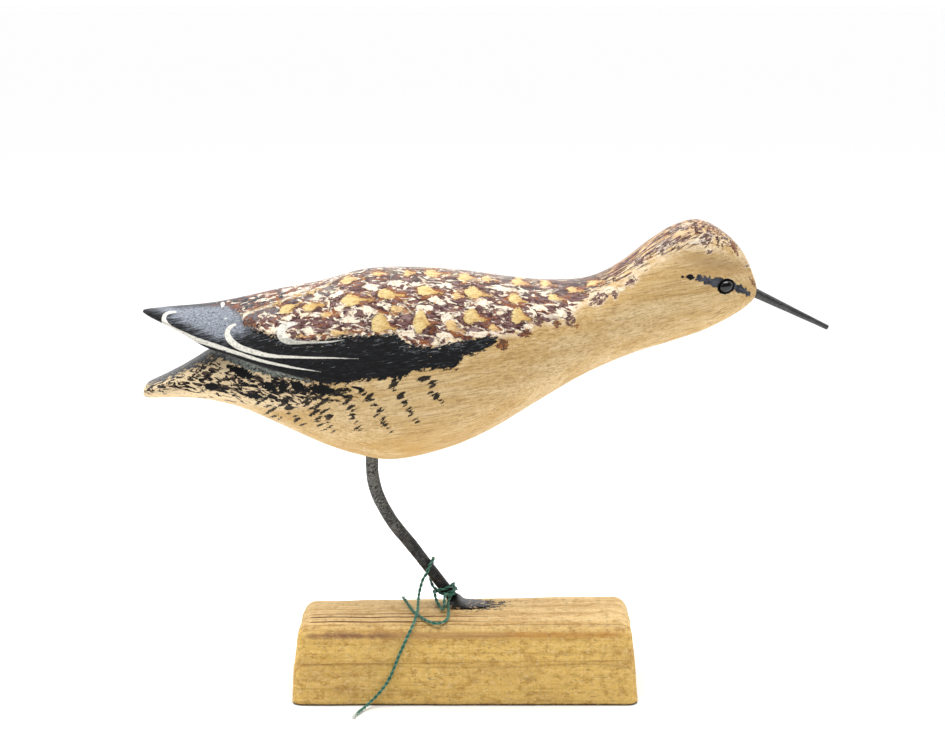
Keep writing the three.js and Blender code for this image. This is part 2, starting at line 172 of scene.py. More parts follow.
def smooth_rows(rows, t):
    """Rows read between their lines, t from 0 to 1: each stretch is the cubic that has the slope
    of the chord of its neighbours at either end."""
    rows = np.array(rows, float)
    padded = np.vstack([2 * rows[0] - rows[1], rows, 2 * rows[-1] - rows[-2]])
    place = np.clip(t, 0, 1) * (len(rows) - 1)
    k = np.minimum(place.astype(int), len(rows) - 2)
    u = (place - k)[:, None]
    a, b, c, d = (padded[k + j] for j in range(4))
    return (b + (c - a) / 2 * u + (a - 2.5 * b + 2 * c - d / 2) * u ** 2
            + (1.5 * b - a / 2 - 1.5 * c + d / 2) * u ** 3)


def evenly(line, step, passes):
    """A line's points set a step apart, then eased towards their neighbours."""
    along = length_along(line)
    at = np.linspace(0, along[-1], int(along[-1] / step) + 1)
    line = np.stack([np.interp(at, along, line[:, k]) for k in range(3)], axis=1)
    for _ in range(passes):
        line[1:-1] = line[1:-1] / 2 + (line[:-2] + line[2:]) / 4
    return line


def smooth_line(points, step, passes=12, per_span=40):
    """An even line that runs smoothly through the points in turn."""
    t = np.linspace(0, 1, per_span * (len(points) - 1) + 1)
    return evenly(smooth_rows(points, t), step, passes)


def carried_frames(line):
    """Directions along a line and two across it that don't turn about it more than they must:
    each pair is the one before, with what lies along the line taken out."""
    along = np.gradient(line, axis=0)
    along /= np.linalg.norm(along, axis=1)[:, None]
    across = np.empty_like(line)
    now = np.cross(along[0], (0.31, 0.87, 0.38))
    for i, forward in enumerate(along):
        now = now - forward * (now @ forward)
        now /= np.linalg.norm(now)
        across[i] = now
    return along, across, np.cross(along, across)


def on_rod(places):
    """Points on the rod from rows of distance down it, degrees round it and distance from its axis."""
    down, turn, out = np.array(places, float).T
    turn = np.radians(turn)
    return (ROD_POINT + np.outer(down, ROD_DOWN) + np.outer(out * np.cos(turn), ROD_SIDE)
            + np.outer(out * np.sin(turn), ROD_FRONT))


class Field:
    """A value or a colour that a shader works out at each place, for use in plain sums."""

    def __init__(self, finish, socket):
        self.finish, self.socket = finish, socket

    def sum(self, operation, *values):
        return self.finish.node("ShaderNodeMath", values, operation=operation)

    def __add__(self, other):
        return self.sum("ADD", self, other)

    def __sub__(self, other):
        return self.sum("SUBTRACT", self, other)

    def __rsub__(self, other):
        return self.sum("SUBTRACT", other, self)

    def __mul__(self, other):
        return self.sum("MULTIPLY", self, other)

    def __pow__(self, other):
        return self.sum("POWER", self, other)

    def __abs__(self):
        return self.sum("ABSOLUTE", self)

    def __or__(self, other):
        """The greater of two, so paint that is there where either is."""
        return self.sum("MAXIMUM", self, other)

    __radd__, __rmul__ = __add__, __mul__

    def held(self, low, high):
        """The value, kept between two numbers."""
        return self.finish.node("ShaderNodeClamp", [self, low, high])

    def step(self, low, high):
        """0 below low and 1 above high, with a smooth rise between; low may be the greater."""
        return self.finish.node("ShaderNodeMapRange", {"Value": self, "From Min": low, "From Max": high},
                                interpolation_type="SMOOTHSTEP")

    def between(self, start, end, low=0.0, high=1.0):
        """A number that runs from start to end as the value goes from low to high."""
        return self.finish.node("ShaderNodeMapRange", {"Value": self, "From Min": low, "From Max": high,
                                                       "To Min": start, "To Max": end})

    def mix(self, under, over):
        """One colour where the value is 0 and another where it is 1."""
        under, over = ((*c, 1.0) if isinstance(c, tuple) else c for c in (under, over))
        return self.finish.node("ShaderNodeMix", {0: self, 6: under, 7: over}, output=2, data_type="RGBA")

    def under(self, paint, share, strength=1.0):
        """The colour with another paint laid over a share of it."""
        return (share * strength).mix(self, paint)


class Finish:
    """A material, with short ways to set values on its shader and to join nodes to it."""

    def __init__(self, name, roughness=0.5, **sockets):
        self.material = bpy.data.materials.new(name)
        self.material.use_nodes = True
        self.tree = self.material.node_tree
        self.shader = self.tree.nodes["Principled BSDF"]
        self.shader.inputs["Roughness"].default_value = roughness
        for socket, value in sockets.items():
            self.shader.inputs[socket.replace("_", " ")].default_value = value

    def node(self, kind, inputs=(), output=0, **settings):
        """A node with its settings, its inputs joined or set in turn; gives one of its outputs."""
        made = self.tree.nodes.new(kind)
        for key, value in settings.items():
            setattr(made, key, value)
        for key, value in inputs.items() if isinstance(inputs, dict) else enumerate(inputs):
            if isinstance(value, Field):
                self.tree.links.new(value.socket, made.inputs[key])
            elif value is not None:
                made.inputs[key].default_value = value
        return Field(self, made.outputs[output])

    def attribute(self, name, output="Fac"):
        return self.node("ShaderNodeAttribute", output=output, attribute_name=name)

    def axis(self, number):
        """One of the three Object coordinates, in metres."""
        here = self.node("ShaderNodeTexCoord", output="Object")
        return self.node("ShaderNodeSeparateXYZ", [here], output=number)

    def texture(self, place, detail=4.0, rough=0.55, warp=0.0):
        return self.node("ShaderNodeTexNoise", {"Vector": place, "Scale": 1.0, "Detail": detail,
                                                "Roughness": rough, "Distortion": warp})

    def noise(self, grain, tilt=0.0, shift=(0, 0, 0), **settings):
        """Noise over the Object coordinates in millimetres, tilted about Y in degrees and then
        stretched, with so many grains to a millimetre."""
        here = self.node("ShaderNodeTexCoord", output="Object")
        turned = self.node("ShaderNodeMapping", {"Vector": here, "Location": shift, "Scale": (1 / MM,) * 3,
                                                 "Rotation": (0, math.radians(tilt), 0)})
        grain = grain if isinstance(grain, tuple) else (grain,) * 3
        return self.texture(self.node("ShaderNodeMapping", {"Vector": turned, "Scale": grain}), **settings)

    def bump(self, height, distance, strength=1.0, under=None):
        """A normal from heights between 0 and 1, so many metres apart."""
        return self.node("ShaderNodeBump", {"Height": height, "Distance": distance, "Strength": strength,
                                            "Normal": under})

    def join(self, **sockets):
        for socket, value in sockets.items():
            self.tree.links.new(value.socket, self.shader.inputs[socket.replace("_", " ")])
        return self.material


def twine_finish():
    """Green dyed twine: deep green in the grooves between the plies as painted shade, and pale patches
    on the crowns as a painted highlight, with fine fibres that run with the plies."""
    twine = Finish("green_twine", roughness=0.82, Sheen_Weight=0.25, Sheen_Roughness=0.6,
                   Specular_IOR_Level=0.25)
    crown = twine.attribute("crown")
    fibres = twine.texture(twine.attribute("lay", output="Vector"), detail=3)
    patches = twine.noise(0.16, detail=2)
    # Painted highlight in patches on the ply crowns; the deep green between them is painted shade
    crown_highlight = fibres.step(0.45, 0.72) * crown.step(0.45, 1.0) * patches.step(0.30, 0.55)
    colour = crown.step(0.30, 0.80).mix(DEEP_GREEN, MID_GREEN).under(PALE_GREEN, crown_highlight)
    colour = colour.under(BLEACHED_TIP, twine.axis(0).step(*BLEACHED_FROM))
    return twine.join(Base_Color=colour, Normal=twine.bump(fibres, 0.00012))


twine = twine_finish()


def laid_string(name, places, frayed_tip):
    """Two plies laid together: at each angle the section reaches to the further side of two
    circles set either side of its middle, and the section turns as it goes along. The ends are
    drawn in, and at a frayed tip the plies part."""
    line = smooth_line(places, RING_STEP)
    along, across, over = carried_frames(line)
    length = length_along(line)
    angle = ring_angles(RING_SIDES)
    tip = np.clip(1 - (length[-1] - length) / FRAYED_LENGTH, 0, 1) * frayed_tip
    offset = (STRING / 2 * (PLY_OFFSET + 0.45 * tip))[:, None]
    radius = (STRING / 2 * (PLY_RADIUS - 0.12 * tip))[:, None]
    reach = offset * np.abs(np.cos(angle)) + np.sqrt(
        np.maximum(radius ** 2 - (offset * np.sin(angle)) ** 2, (0.18 * radius) ** 2))
    uneven = 1 + 0.05 * np.sin(length / 0.0011 + 1.3)[:, None]
    uneven = uneven + 0.03 * np.sin(7 * angle + length[:, None] / 0.0007)
    ends = np.clip(np.minimum(length, length[-1] - length) / DRAWN_IN, 0, 1)
    reach = (reach * uneven * np.sqrt(0.08 + 0.92 * ends)[:, None])[..., None]
    turned = (angle + 2 * np.pi * length[:, None] / PLY_TURN)[..., None]
    rings = line[:, None] + (np.cos(turned) * across[:, None] + np.sin(turned) * over[:, None]) * reach
    poles = line[[0, -1]] + along[[0, -1]] * np.array([[-0.0001], [0.0001]])
    made = new_piece(name, *closed_form(rings, poles), twine)
    crown = np.tile(np.abs(np.cos(angle)) ** 0.8, len(line))
    keep(made.data, "crown", np.concatenate([crown, [0.5, 0.5]]))
    cos, sin = (np.tile(round_it(angle) * FIBRES_ROUND, len(line)) for round_it in (np.cos, np.sin))
    lay = np.stack([np.repeat(length / FIBRE_LENGTH, RING_SIDES), cos, sin], axis=1)
    keep(made.data, "lay", np.vstack([lay, lay[:1], lay[-1:]]))
    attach(made, "root")
    return made, line, float(length[-1])


route = np.vstack([on_rod(TUCKED_END), SMALL_LOOP[::-1], on_rod(TURNS), LONG_END]) * MM
knotted, knotted_line, knotted_length = laid_string("string_knotted", route, 1.0)
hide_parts("string_knot", "string_loop", "string_long_end")

route = np.vstack([on_rod(OVER_THE_TURNS), SHORT_END]) * MM
short, short_line, short_length = laid_string("string_short", route, 0.4)
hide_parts("string_short_end")

# The carved bird: body, tail, neck and head are one block of pale close-grained wood, and the
# folded wings are carved out of the same block, with an open notch between their tips and the
# tail. It was whittled and sanded smooth, then painted by hand with a fairly dry brush.
BIRD_LENGTH = 0.250
BIRD_HEIGHT = 0.0982
BIRD_WIDTH = 0.066
TAIL_X = -0.14012
BELLY_Z = 0.09680
MANTLE_STEP = 0.0010        # height of the back feathers over the wing
WING_EDGE = 0.0012          # upright band along the wing's lower edge
BROW_DEPTH = 0.0013         # of the channel over each eye
BODY_POWER = 2.15           # fullness of the body's section; 2 is an ellipse
ROOF_CREST = 1.45           # roundness of the wings' ridge at the tips
ROOF_SADDLE = 2.1           # and towards the shoulders
CARVING_GRAIN = 0.00079     # spacing of the finished surface's points

# Ribs of body and tail, from tail to forehead, as shares: where the rib meets the back and
# where it meets the belly, along and up, then its half width and how high its widest place is
RIBS = [
    (0.002, 0.304, 0.001, 0.281, 0.18, 0.5), (0.007, 0.322, 0.005, 0.262, 0.29, 0.5),
    (0.032, 0.351, 0.030, 0.260, 0.36, 0.5), (0.068, 0.399, 0.068, 0.259, 0.41, 0.5),
    (0.110, 0.463, 0.112, 0.249, 0.47, 0.5), (0.160, 0.530, 0.164, 0.215, 0.55, 0.48),
    (0.224, 0.622, 0.224, 0.148, 0.69, 0.46), (0.292, 0.722, 0.288, 0.073, 0.83, 0.44),
    (0.356, 0.790, 0.348, 0.022, 0.93, 0.43), (0.428, 0.804, 0.410, 0.000, 0.99, 0.43),
    (0.512, 0.791, 0.484, 0.039, 1.00, 0.43), (0.592, 0.765, 0.566, 0.126, 0.94, 0.43),
    (0.664, 0.749, 0.646, 0.251, 0.82, 0.44), (0.728, 0.762, 0.724, 0.365, 0.68, 0.45),
    (0.778, 0.824, 0.796, 0.443, 0.56, 0.47), (0.824, 0.914, 0.858, 0.493, 0.49, 0.48),
    (0.866, 0.980, 0.910, 0.537, 0.465, 0.48), (0.906, 1.000, 0.946, 0.580, 0.45, 0.47),
    (0.946, 0.949, 0.972, 0.621, 0.40, 0.45), (0.977, 0.868, 0.989, 0.654, 0.31, 0.45),
    (0.995, 0.766, 0.998, 0.684, 0.17, 0.5), (1.000, 0.725, 1.000, 0.715, 0.05, 0.5),
]
# Ribs of the folded wings: place along the length, ridge, lower edge, half width, and how far
# the underside hangs below the edge
WING_RIBS = [
    (0.000, 0.627, 0.617, 0.03, 0.003), (0.008, 0.630, 0.608, 0.10, 0.004),
    (0.032, 0.636, 0.583, 0.24, 0.006), (0.068, 0.645, 0.545, 0.38, 0.008),
    (0.112, 0.656, 0.492, 0.52, 0.012), (0.160, 0.677, 0.460, 0.65, 0.034),
    (0.224, 0.714, 0.415, 0.78, 0.040), (0.288, 0.747, 0.378, 0.87, 0.026),
    (0.328, 0.770, 0.364, 0.91, 0.020), (0.376, 0.782, 0.366, 0.92, 0.020),
    (0.430, 0.778, 0.390, 0.86, 0.020), (0.480, 0.700, 0.440, 0.60, 0.020),
]


def on_middle(along, up):
    """Places in the plane between the bird's two sides, from shares of its length and height."""
    return np.stack([TAIL_X + along * BIRD_LENGTH, 0 * along, BELLY_Z + up * BIRD_HEIGHT], axis=-1)


def bulge(value):
    return np.sign(value) * np.abs(value) ** (2 / BODY_POWER)


def body_form(rings=300, sides=128):
    """Each rib is a rounded section, fuller than an ellipse, on the chord from belly to back; its
    widest place lies below the middle, so the upper part is the taller one."""
    top_x, top_z, low_x, low_z, half, widest = smooth_rows(RIBS, np.linspace(0, 1, rings)).T
    angle, widest = ring_angles(sides), widest[:, None]
    low, top = on_middle(low_x, low_z), on_middle(top_x, top_z)
    rise = widest + bulge(np.sin(angle)) * np.where(np.sin(angle) > 0, 1 - widest, widest)
    points = low[:, None] + (top - low)[:, None] * rise[..., None]
    points[..., 1] = -bulge(np.cos(angle)) * half[:, None] * BIRD_WIDTH / 2
    return closed_form(points, (low + (top - low) * widest)[[0, -1]])


def wing_form(rings=180, sides=128):
    """A low roof at the tips that turns round towards the shoulders: at each place the upper side
    falls from the ridge to an upright band at the edge, and the underside hangs in a shallow arc."""
    t = np.linspace(0, 1, rings)
    along, ridge, edge, half, under = (column[:, None] for column in smooth_rows(WING_RIBS, t).T)
    angle = ring_angles(sides)[None]
    edge_z, ridge_z = BELLY_Z + edge * BIRD_HEIGHT, BELLY_Z + ridge * BIRD_HEIGHT
    reach = np.abs(np.cos(angle))
    band = np.minimum(WING_EDGE, (ridge_z - edge_z) / 3)
    crest = ROOF_CREST + (ROOF_SADDLE - ROOF_CREST) * t[:, None]
    roof = (1 - reach ** crest) ** (1 / (1 + t[:, None]))
    above = edge_z + band + (ridge_z - edge_z - band) * roof
    below = edge_z - under * BIRD_HEIGHT * (1 - reach ** 2)
    points = np.stack([TAIL_X + along * BIRD_LENGTH + 0 * angle, -np.cos(angle) * half * BIRD_WIDTH / 2,
                       np.where(np.sin(angle) > -1e-9, above, below)], axis=-1)
    return closed_form(points, on_middle(along, (edge + ridge) / 2)[[0, -1], 0])


def grown_together(name, forms, grain):
    """One closed surface round several forms that overlap, as carved from one block: they are
    joined, and the outside is laid again with points a grain apart, then eased a little."""
    points = np.vstack([form[0] for form in forms])
    faces, first = [], 0
    for form_points, form_faces in forms:
        faces += [[corner + first for corner in face] for face in form_faces]
        first += len(form_points)
    rough = new_piece(name + "_rough", points, faces)
    remesh = rough.modifiers.new("one block", "REMESH")
    remesh.mode = "VOXEL"
    remesh.voxel_size = grain
    smooth = rough.modifiers.new("sanded", "SMOOTH")
    smooth.factor = 0.5
    smooth.iterations = 5
    mesh = bpy.data.meshes.new_from_object(rough.evaluated_get(bpy.context.evaluated_depsgraph_get()))
    bpy.data.objects.remove(rough)
    mesh.name = name
    mesh.polygons.foreach_set("use_smooth", np.full(len(mesh.polygons), True))
    return mesh


def places_and_normals(mesh):
    """Where a mesh's points are, and which way each faces."""
    places, normals = np.empty((2, len(mesh.vertices) * 3))
    mesh.vertices.foreach_get("co", places)
    mesh.vertex_normals.foreach_get("vector", normals)
    return places.reshape(-1, 3), normals.reshape(-1, 3)


def move_to(mesh, places):
    mesh.vertices.foreach_set("co", places.ravel())
    mesh.update()
    return places


# Where the paint ends, and where the feathers are raised, is given as the viewer sees the side:
# millimetres along from the bird's middle, and up from the block's front foot. The other side
# is the same, seen in a mirror.
PICTURE_FOOT = 0.13448      # how far the block's front foot is seen below the middle of the view


def seen_from_side(points):
    """Places as they are seen, with what is nearer the viewer larger and a little lower."""
    y = -np.abs(points[:, 1])
    x, z = points[:, 0] - VIEW_MIDDLE.x, points[:, 2] - VIEW_MIDDLE.z
    depth = VIEW_DISTANCE + y * math.cos(VIEW_SLOPE) - z * math.sin(VIEW_SLOPE)
    up = y * math.sin(VIEW_SLOPE) + z * math.cos(VIEW_SLOPE)
    nearer = VIEW_DISTANCE / depth
    return np.stack([x * nearer + VIEW_MIDDLE.x, up * nearer + PICTURE_FOOT], axis=1) / MM


def from_sides(place, start, end):
    """Distance of each place from each straight side, and how far along that side it is nearest."""
    side = end - start
    share = np.clip(((place[:, None] - start) * side).sum(2) / (side ** 2).sum(1), 0, 1)
    return np.linalg.norm(place[:, None] - start - share[..., None] * side, axis=2), share


def inside_outline(place, corners):
    """Distance into a closed outline, less than nought outside: the distance to its nearest side,
    its sign from how many sides a level ray from the place crosses."""
    start, end = np.array(corners), np.roll(corners, -1, axis=0)
    away = from_sides(place, start, end)[0].min(axis=1)
    x, z = place[:, :1], place[:, 1:]
    between = (start[:, 1] > z) != (end[:, 1] > z)
    cross = start[:, 0] + (z - start[:, 1]) / (end[:, 1] - start[:, 1] + 1e-12) * (end[:, 0] - start[:, 0])
    odd = (between & (x < cross)).sum(axis=1) % 2 == 1
    return np.where(odd, away, -away)


def beside_line(place, points, step=1.0):
    """Distance to the left of an open line with its corners drawn round, less than nought to its
    right, and how far along the line the nearest point is, from 0 to 1."""
    points = smooth_line([(x, z, 0) for x, z in points], step, passes=2)[:, :2]
    start, end = points[:-1], points[1:]
    away, share = from_sides(place, start, end)
    nearest = away.argmin(axis=1)
    side = (end - start)[nearest]
    offset = place - start[nearest]
    sign = np.sign(side[:, 0] * offset[:, 1] - side[:, 1] * offset[:, 0])
    length = length_along(points)
    rows = np.arange(len(place))
    along = length[nearest] + share[rows, nearest] * np.linalg.norm(side, axis=1)
    return away[rows, nearest] * sign, along / length[-1]


MANTLE = [(-100.9, 160.0), (-99.6, 161.5), (-89.5, 163.8), (-80.4, 167.3), (-71.8, 170.1), (-66.2, 172.3),
          (-61.3, 175.1), (-57.8, 177.1), (-55.8, 186.0), (-30, 190), (0, 190), (25, 185), (50, 188),
          (80, 215), (112, 205), (109.5, 180), (102.1, 185.3), (92.7, 187.0), (83.6, 186.1), (77.1, 184.5),
          (68.9, 179.6), (59.0, 173.8), (52.5, 170.6), (44.3, 166.5), (38.5, 164.0), (34.9, 159.1),
          (29.5, 156.6), (21.3, 158.3), (16.8, 153.3), (13.9, 152.5), (5.3, 151.7), (-8.6, 149.6),
          (-23.0, 146.4), (-32.8, 148.0), (-37.3, 152.1), (-47.1, 151.8), (-59.9, 150.9), (-71.8, 149.0),
          (-82.4, 149.6), (-93.1, 153.3), (-99.3, 156.0)]
WING = [(-150, 185), (-150, 165), (-141.5, 159.5), (-127.5, 152.9), (-114.4, 145.1), (-100.9, 140.2),
        (-84.5, 134.9), (-64.0, 131.6), (-43.5, 134.1), (-35.3, 134.3), (-29.6, 137.3), (-23.0, 138.3),
        (-12.1, 138.2), (-9.6, 143.5), (-2.7, 144.7), (2.9, 147.8), (5.5, 151.2), (-8.6, 152.6),
        (-23.0, 149.4), (-32.8, 151.0), (-37.3, 155.1), (-47.1, 154.8), (-52, 165), (-53.8, 190)]
# The wings' blue-grey top, partly paint and partly painted sheen
GREY_TOP = [(-150, 185), (-146, 163), (-134.5, 159.5), (-128, 157.5), (-117, 151.5), (-108, 148.5),
            (-99, 151.5), (-92, 157.5), (-89.5, 163.8), (-80.4, 167.3), (-66.2, 172.3), (-55.8, 182.0)]
# Above this line, along and up, the blue-grey of the wings is darker
FAR_STRIP = ((-150, -127, -106, -101, -80), (166.0, 163.2, 164.0, 160.5, 161.0))
# Cream feather edges, each from its hooked tip forwards, and their half widths along the way
FEATHER_EDGES = [
    ([(-126.9, 161.8), (-130.6, 161.4), (-132.4, 159.6), (-131.4, 156.6), (-126.5, 153.3), (-107.8, 146.4),
      (-84.0, 139.8), (-67.2, 136.9)], (0.5, 1.3, 1.15, 1.05, 0.95, 0.8, 0.7, 0.5, 0.15)),
    ([(-102.4, 156.6), (-105.0, 155.4), (-106.3, 152.6), (-104.5, 149.4), (-99.0, 146.3), (-86.1, 143.5),
      (-70, 142.8), (-52.1, 142.6)], (0.6, 1.55, 1.25, 1.0, 0.77, 0.56, 0.47, 0.33, 0.15)),
    ([(-77.5, 157.2), (-81.5, 156.3), (-84.2, 153.5), (-82.8, 150.6), (-78.5, 149.0), (-71.0, 149.0),
      (-64.0, 149.3), (-57.5, 150.0)], (0.6, 1.8, 2.0, 1.05, 0.7, 0.5, 0.4, 0.15)),
]
MOUND_RIM = [(-100.5, 160.7), (-89.5, 163.8), (-80.4, 167.3), (-71.8, 170.1), (-66.2, 172.3), (-61.3, 175.1)]
STRIPE_DOTS = [(80.2, 176.0, 1.5, 1.3, 0), (83.3, 176.0, 3.4, 2.6, 0)]
EYE_STRIPE = [(79.9, 176.3), (82.0, 176.3), (84.5, 176.1), (90.2, 174.7), (96.3, 173.0), (102.1, 171.8),
              (107.0, 169.7)]
# Shares of the way along the eye stripe, and its half widths there
STRIPE_HALVES = ((0, 0.10, 0.25, 0.40, 0.60, 0.75, 1), (-0.6, 0.5, 0.9, 1.6, 2.3, 1.8, 1.0))
TICK_COLUMNS = [
    ((-76.5, 130), (-66.0, 113)), ((-70.5, 128.5), (-61.5, 112.2)), ((-60.5, 130), (-50.8, 112)),
    ((-49.8, 130), (-38.8, 112)), ((-39.5, 134.0), (-28.6, 116.0)), ((-26.2, 135), (-16.5, 122.5)),
    ((-84.0, 126), (-75.0, 114)), ((-92.0, 126), (-84.0, 117)),
]
TAIL_PAINT = [(-141, 134.5), (-125, 140.5), (-111.1, 148), (-100, 141), (-84, 135.5), (-64.0, 132.2),
              (-52, 132.6), (-52, 128), (-64.0, 123), (-84.5, 122.3), (-100.9, 124.8), (-125.5, 127.6),
              (-141, 127.4)]
TAIL_TOP = [(-141, 140), (-141, 131), (-133, 132.6), (-126, 136.2), (-119, 139.3), (-109, 143.0),
            (-103, 142.8), (-112, 145.0), (-125, 149.4)]
# Just under the wing's edge: black that is partly paint and partly painted shade under the overhang
UNDER_WING = [(-104.5, 141.0), (-100, 137.0), (-92, 133.0), (-84, 134.8), (-64, 131.4), (-50, 131.6),
              (-52, 128.6), (-66, 126.0), (-84, 126.5), (-98, 131.5), (-106, 138.0)]


def rise_between(value, low, high):
    """0 below low and 1 above high, with a smooth rise between."""
    share = np.clip((value - low) / (high - low), 0, 1)
    return share * share * (3 - 2 * share)


def gentle_waves(points, length, seed):
    """Soft unevenness between -1 and 1: a few sines of one wavelength in random directions."""
    random = np.random.default_rng(seed)
    total = np.zeros(len(points))
    for _ in range(7):
        direction = random.normal(size=3) * (0.55, 1, 1)
        direction *= 2 * np.pi / length / np.linalg.norm(direction) * random.uniform(0.6, 1.4)
        total += np.sin(points @ direction + random.uniform(0, 2 * np.pi))
    return total / 4


EYE_PLACE = np.array((0.09613, 0, 0.16957))
EYE_TILT = math.radians(25)
EYE_RING = (0.0037, 0.0031)     # half length and half height of the black paint round the glass
EYE_HOLE = (0.0030, 0.0024)
HOLE_DEPTH = 0.0016
BROW_PLACE = (0.0936, 0.1779)
BROW_SIZE = (0.0165, 0.0040)
BROW_SLOPE = math.radians(8)
CHEEK = 0.006                   # how far out from its middle the head's sides begin
FACETS = ((0.00012, 0.018, 3), (0.00005, 0.006, 4))     # depth, length and seed of the knife's marks

mesh = grown_together("carved_bird_surface", [body_form(), wing_form()], CARVING_GRAIN)
places, normals = places_and_normals(mesh)
x, z = places[:, 0], places[:, 2]
on_cheek = np.abs(places[:, 1]) > CHEEK

# Carving: the back feathers stand proud of the wing, a shallow channel runs over each eye, the
# glass sits in a hole, and the knife left broad soft facets.
fading = 1 - rise_between((x - TAIL_X) / BIRD_LENGTH, 0.25, 0.40)
upper = z > BELLY_Z + 0.50 * BIRD_HEIGHT
mound = rise_between(inside_outline(seen_from_side(places), MANTLE), -0.45, 0.55) * fading * upper
brow_along = np.abs(x - BROW_PLACE[0]) / BROW_SIZE[0]
brow_across = (z - BROW_PLACE[1] + (x - BROW_PLACE[0]) * math.tan(BROW_SLOPE)) / BROW_SIZE[1]
brow = np.exp(-brow_along ** 3 - brow_across ** 2) * on_cheek
eye_along = (x - EYE_PLACE[0]) * math.cos(EYE_TILT) + (z - EYE_PLACE[2]) * math.sin(EYE_TILT)
eye_across = (z - EYE_PLACE[2]) * math.cos(EYE_TILT) - (x - EYE_PLACE[0]) * math.sin(EYE_TILT)
hole = 1 - rise_between(np.hypot(eye_along / EYE_HOLE[0], eye_across / EYE_HOLE[1]), 0.80, 1.06)
carving = MANTLE_STEP * mound - BROW_DEPTH * brow - HOLE_DEPTH * hole * on_cheek
for deep, length, seed in FACETS:
    carving += deep * gentle_waves(places, length, seed)
places = move_to(mesh, places + normals * carving[:, None])
x, z = places[:, 0], places[:, 2]

# Paint: signed distances in millimetres from the edges of each painted part, which the finish
# breaks up with the brush's grain. The far side's edges wander more from the near side's.
FEATHER_REACH = 6       # distances are kept up to here on either side
PAINT_REACH = 8
flat = places * (1, 0, 1)
wobble = np.stack([gentle_waves(flat, 0.012, seed) for seed in (11, 12)], axis=1)
far_side = (places[:, 1] > 0)[:, None]
painted = seen_from_side(places) + wobble * np.where(far_side, 0.9, 0.25)
in_mantle = inside_outline(painted, MANTLE)
keep(mesh, "mantle", np.clip(in_mantle, -PAINT_REACH, PAINT_REACH))
in_wing = np.minimum(inside_outline(painted, WING), 0.4 - in_mantle)
keep(mesh, "wing", np.clip(in_wing, -PAINT_REACH, PAINT_REACH))
keep(mesh, "grey_top", np.clip(inside_outline(painted, GREY_TOP), -12, 12))
for name, outline in (("tail_paint", TAIL_PAINT), ("tail_top", TAIL_TOP), ("under_wing", UNDER_WING)):
    keep(mesh, name, np.clip(inside_outline(painted, outline), -PAINT_REACH, PAINT_REACH))
offsets, halves = [], []
for line, widths in FEATHER_EDGES:
    beside, along = beside_line(painted, line)
    half = np.interp(along, np.linspace(0, 1, len(widths)), widths)
    offsets.append(np.clip(beside, -FEATHER_REACH, FEATHER_REACH))
    halves.append(np.where((along <= 0) | (along >= 1), half - np.abs(beside), half))
keep(mesh, "feather_edge", np.stack(offsets, axis=1))
keep(mesh, "feather_half", np.stack(halves, axis=1))
beside, along = beside_line(painted, MOUND_RIM)
keep(mesh, "rim", np.clip(beside, -FEATHER_REACH, FEATHER_REACH))
keep(mesh, "rim_half", 0.50 * np.clip(np.minimum(along, 1 - along) * 6, 0, 1))
beside, along = beside_line(painted, EYE_STRIPE, step=0.5)
stripe = np.interp(along, *STRIPE_HALVES) - np.abs(beside)
ring = (1 - np.hypot(eye_along / EYE_RING[0], eye_across / EYE_RING[1])) * 3.2
keep(mesh, "stripe", np.clip(np.where(x > 0.06, stripe, -PAINT_REACH), -PAINT_REACH, PAINT_REACH))
ring = np.where((x > 0.06) & on_cheek, ring, -PAINT_REACH)
keep(mesh, "eye_ring", np.clip(ring, -PAINT_REACH, PAINT_REACH))
# Painted shade for the channel over each eye
keep(mesh, "brow_dirt", brow)
keep(mesh, "spine", rise_between(normals[:, 2], 0.72, 0.95) * (x < 0.05))
keep(mesh, "far_strip", rise_between(painted[:, 1] - np.interp(painted[:, 0], *FAR_STRIP), -1.2, 1.2))

# Dabs of paint, as seen from the side in millimetres: middle along and up, length, height, and
# how many degrees the dab rises towards the bill. A fan is broad behind and narrow in front.
OCHRE_FANS = [
    (-83.2, 166.5, 9.1, 2.3, 25), (-80.4, 163.6, 10.3, 3.4, 28), (-70.9, 164.0, 9.1, 3.4, 18),
    (-53.3, 166.5, 13.1, 4.6, 4), (-39.0, 169.0, 11.4, 4.3, 2), (-23.0, 170.2, 10.8, 4.3, -3),
    (-3.3, 169.3, 11.4, 4.6, -6), (13.1, 166.9, 8.5, 4.1, -8), (28.7, 167.3, 6.8, 3.2, -10),
    (-41.8, 156.6, 10.8, 7.5, -12), (-25.4, 157.4, 9.1, 8.9, -8), (-4.5, 159.5, 9.7, 6.4, -8),
    (14.4, 159.9, 8.9, 6.4, -10),
]
TAN_FANS = [
    (-54.9, 175.1, 10, 2.6, 10), (-43.5, 177.5, 6, 1.8, 5), (-31.2, 177.5, 5.5, 2.2, 5),
    (-20.1, 177.5, 11, 2.4, -2), (-7.0, 175.5, 9, 3.2, -5), (1.2, 175.0, 6, 2.2, -5),
    (14.4, 173.8, 8, 3.2, -8), (25.4, 173.4, 7, 2.4, -8), (-70.5, 170.6, 6, 2.6, 22),
    (-11.5, 168.5, 5, 3.4, 0), (-12.7, 155.4, 8.5, 4.2, -22), (-35.3, 162.8, 8, 3.0, -4),
    (-64.5, 160.8, 7, 2.4, 6), (-59.5, 152.8, 9, 2.2, 4), (-75.5, 151.6, 8, 1.8, -3),
    (36.5, 170.8, 7, 2.4, -4), (45.0, 173.8, 8, 2.2, 14), (4.0, 154.8, 6, 2.8, -16),
    (-46.2, 150.9, 8, 2.2, 8),
]
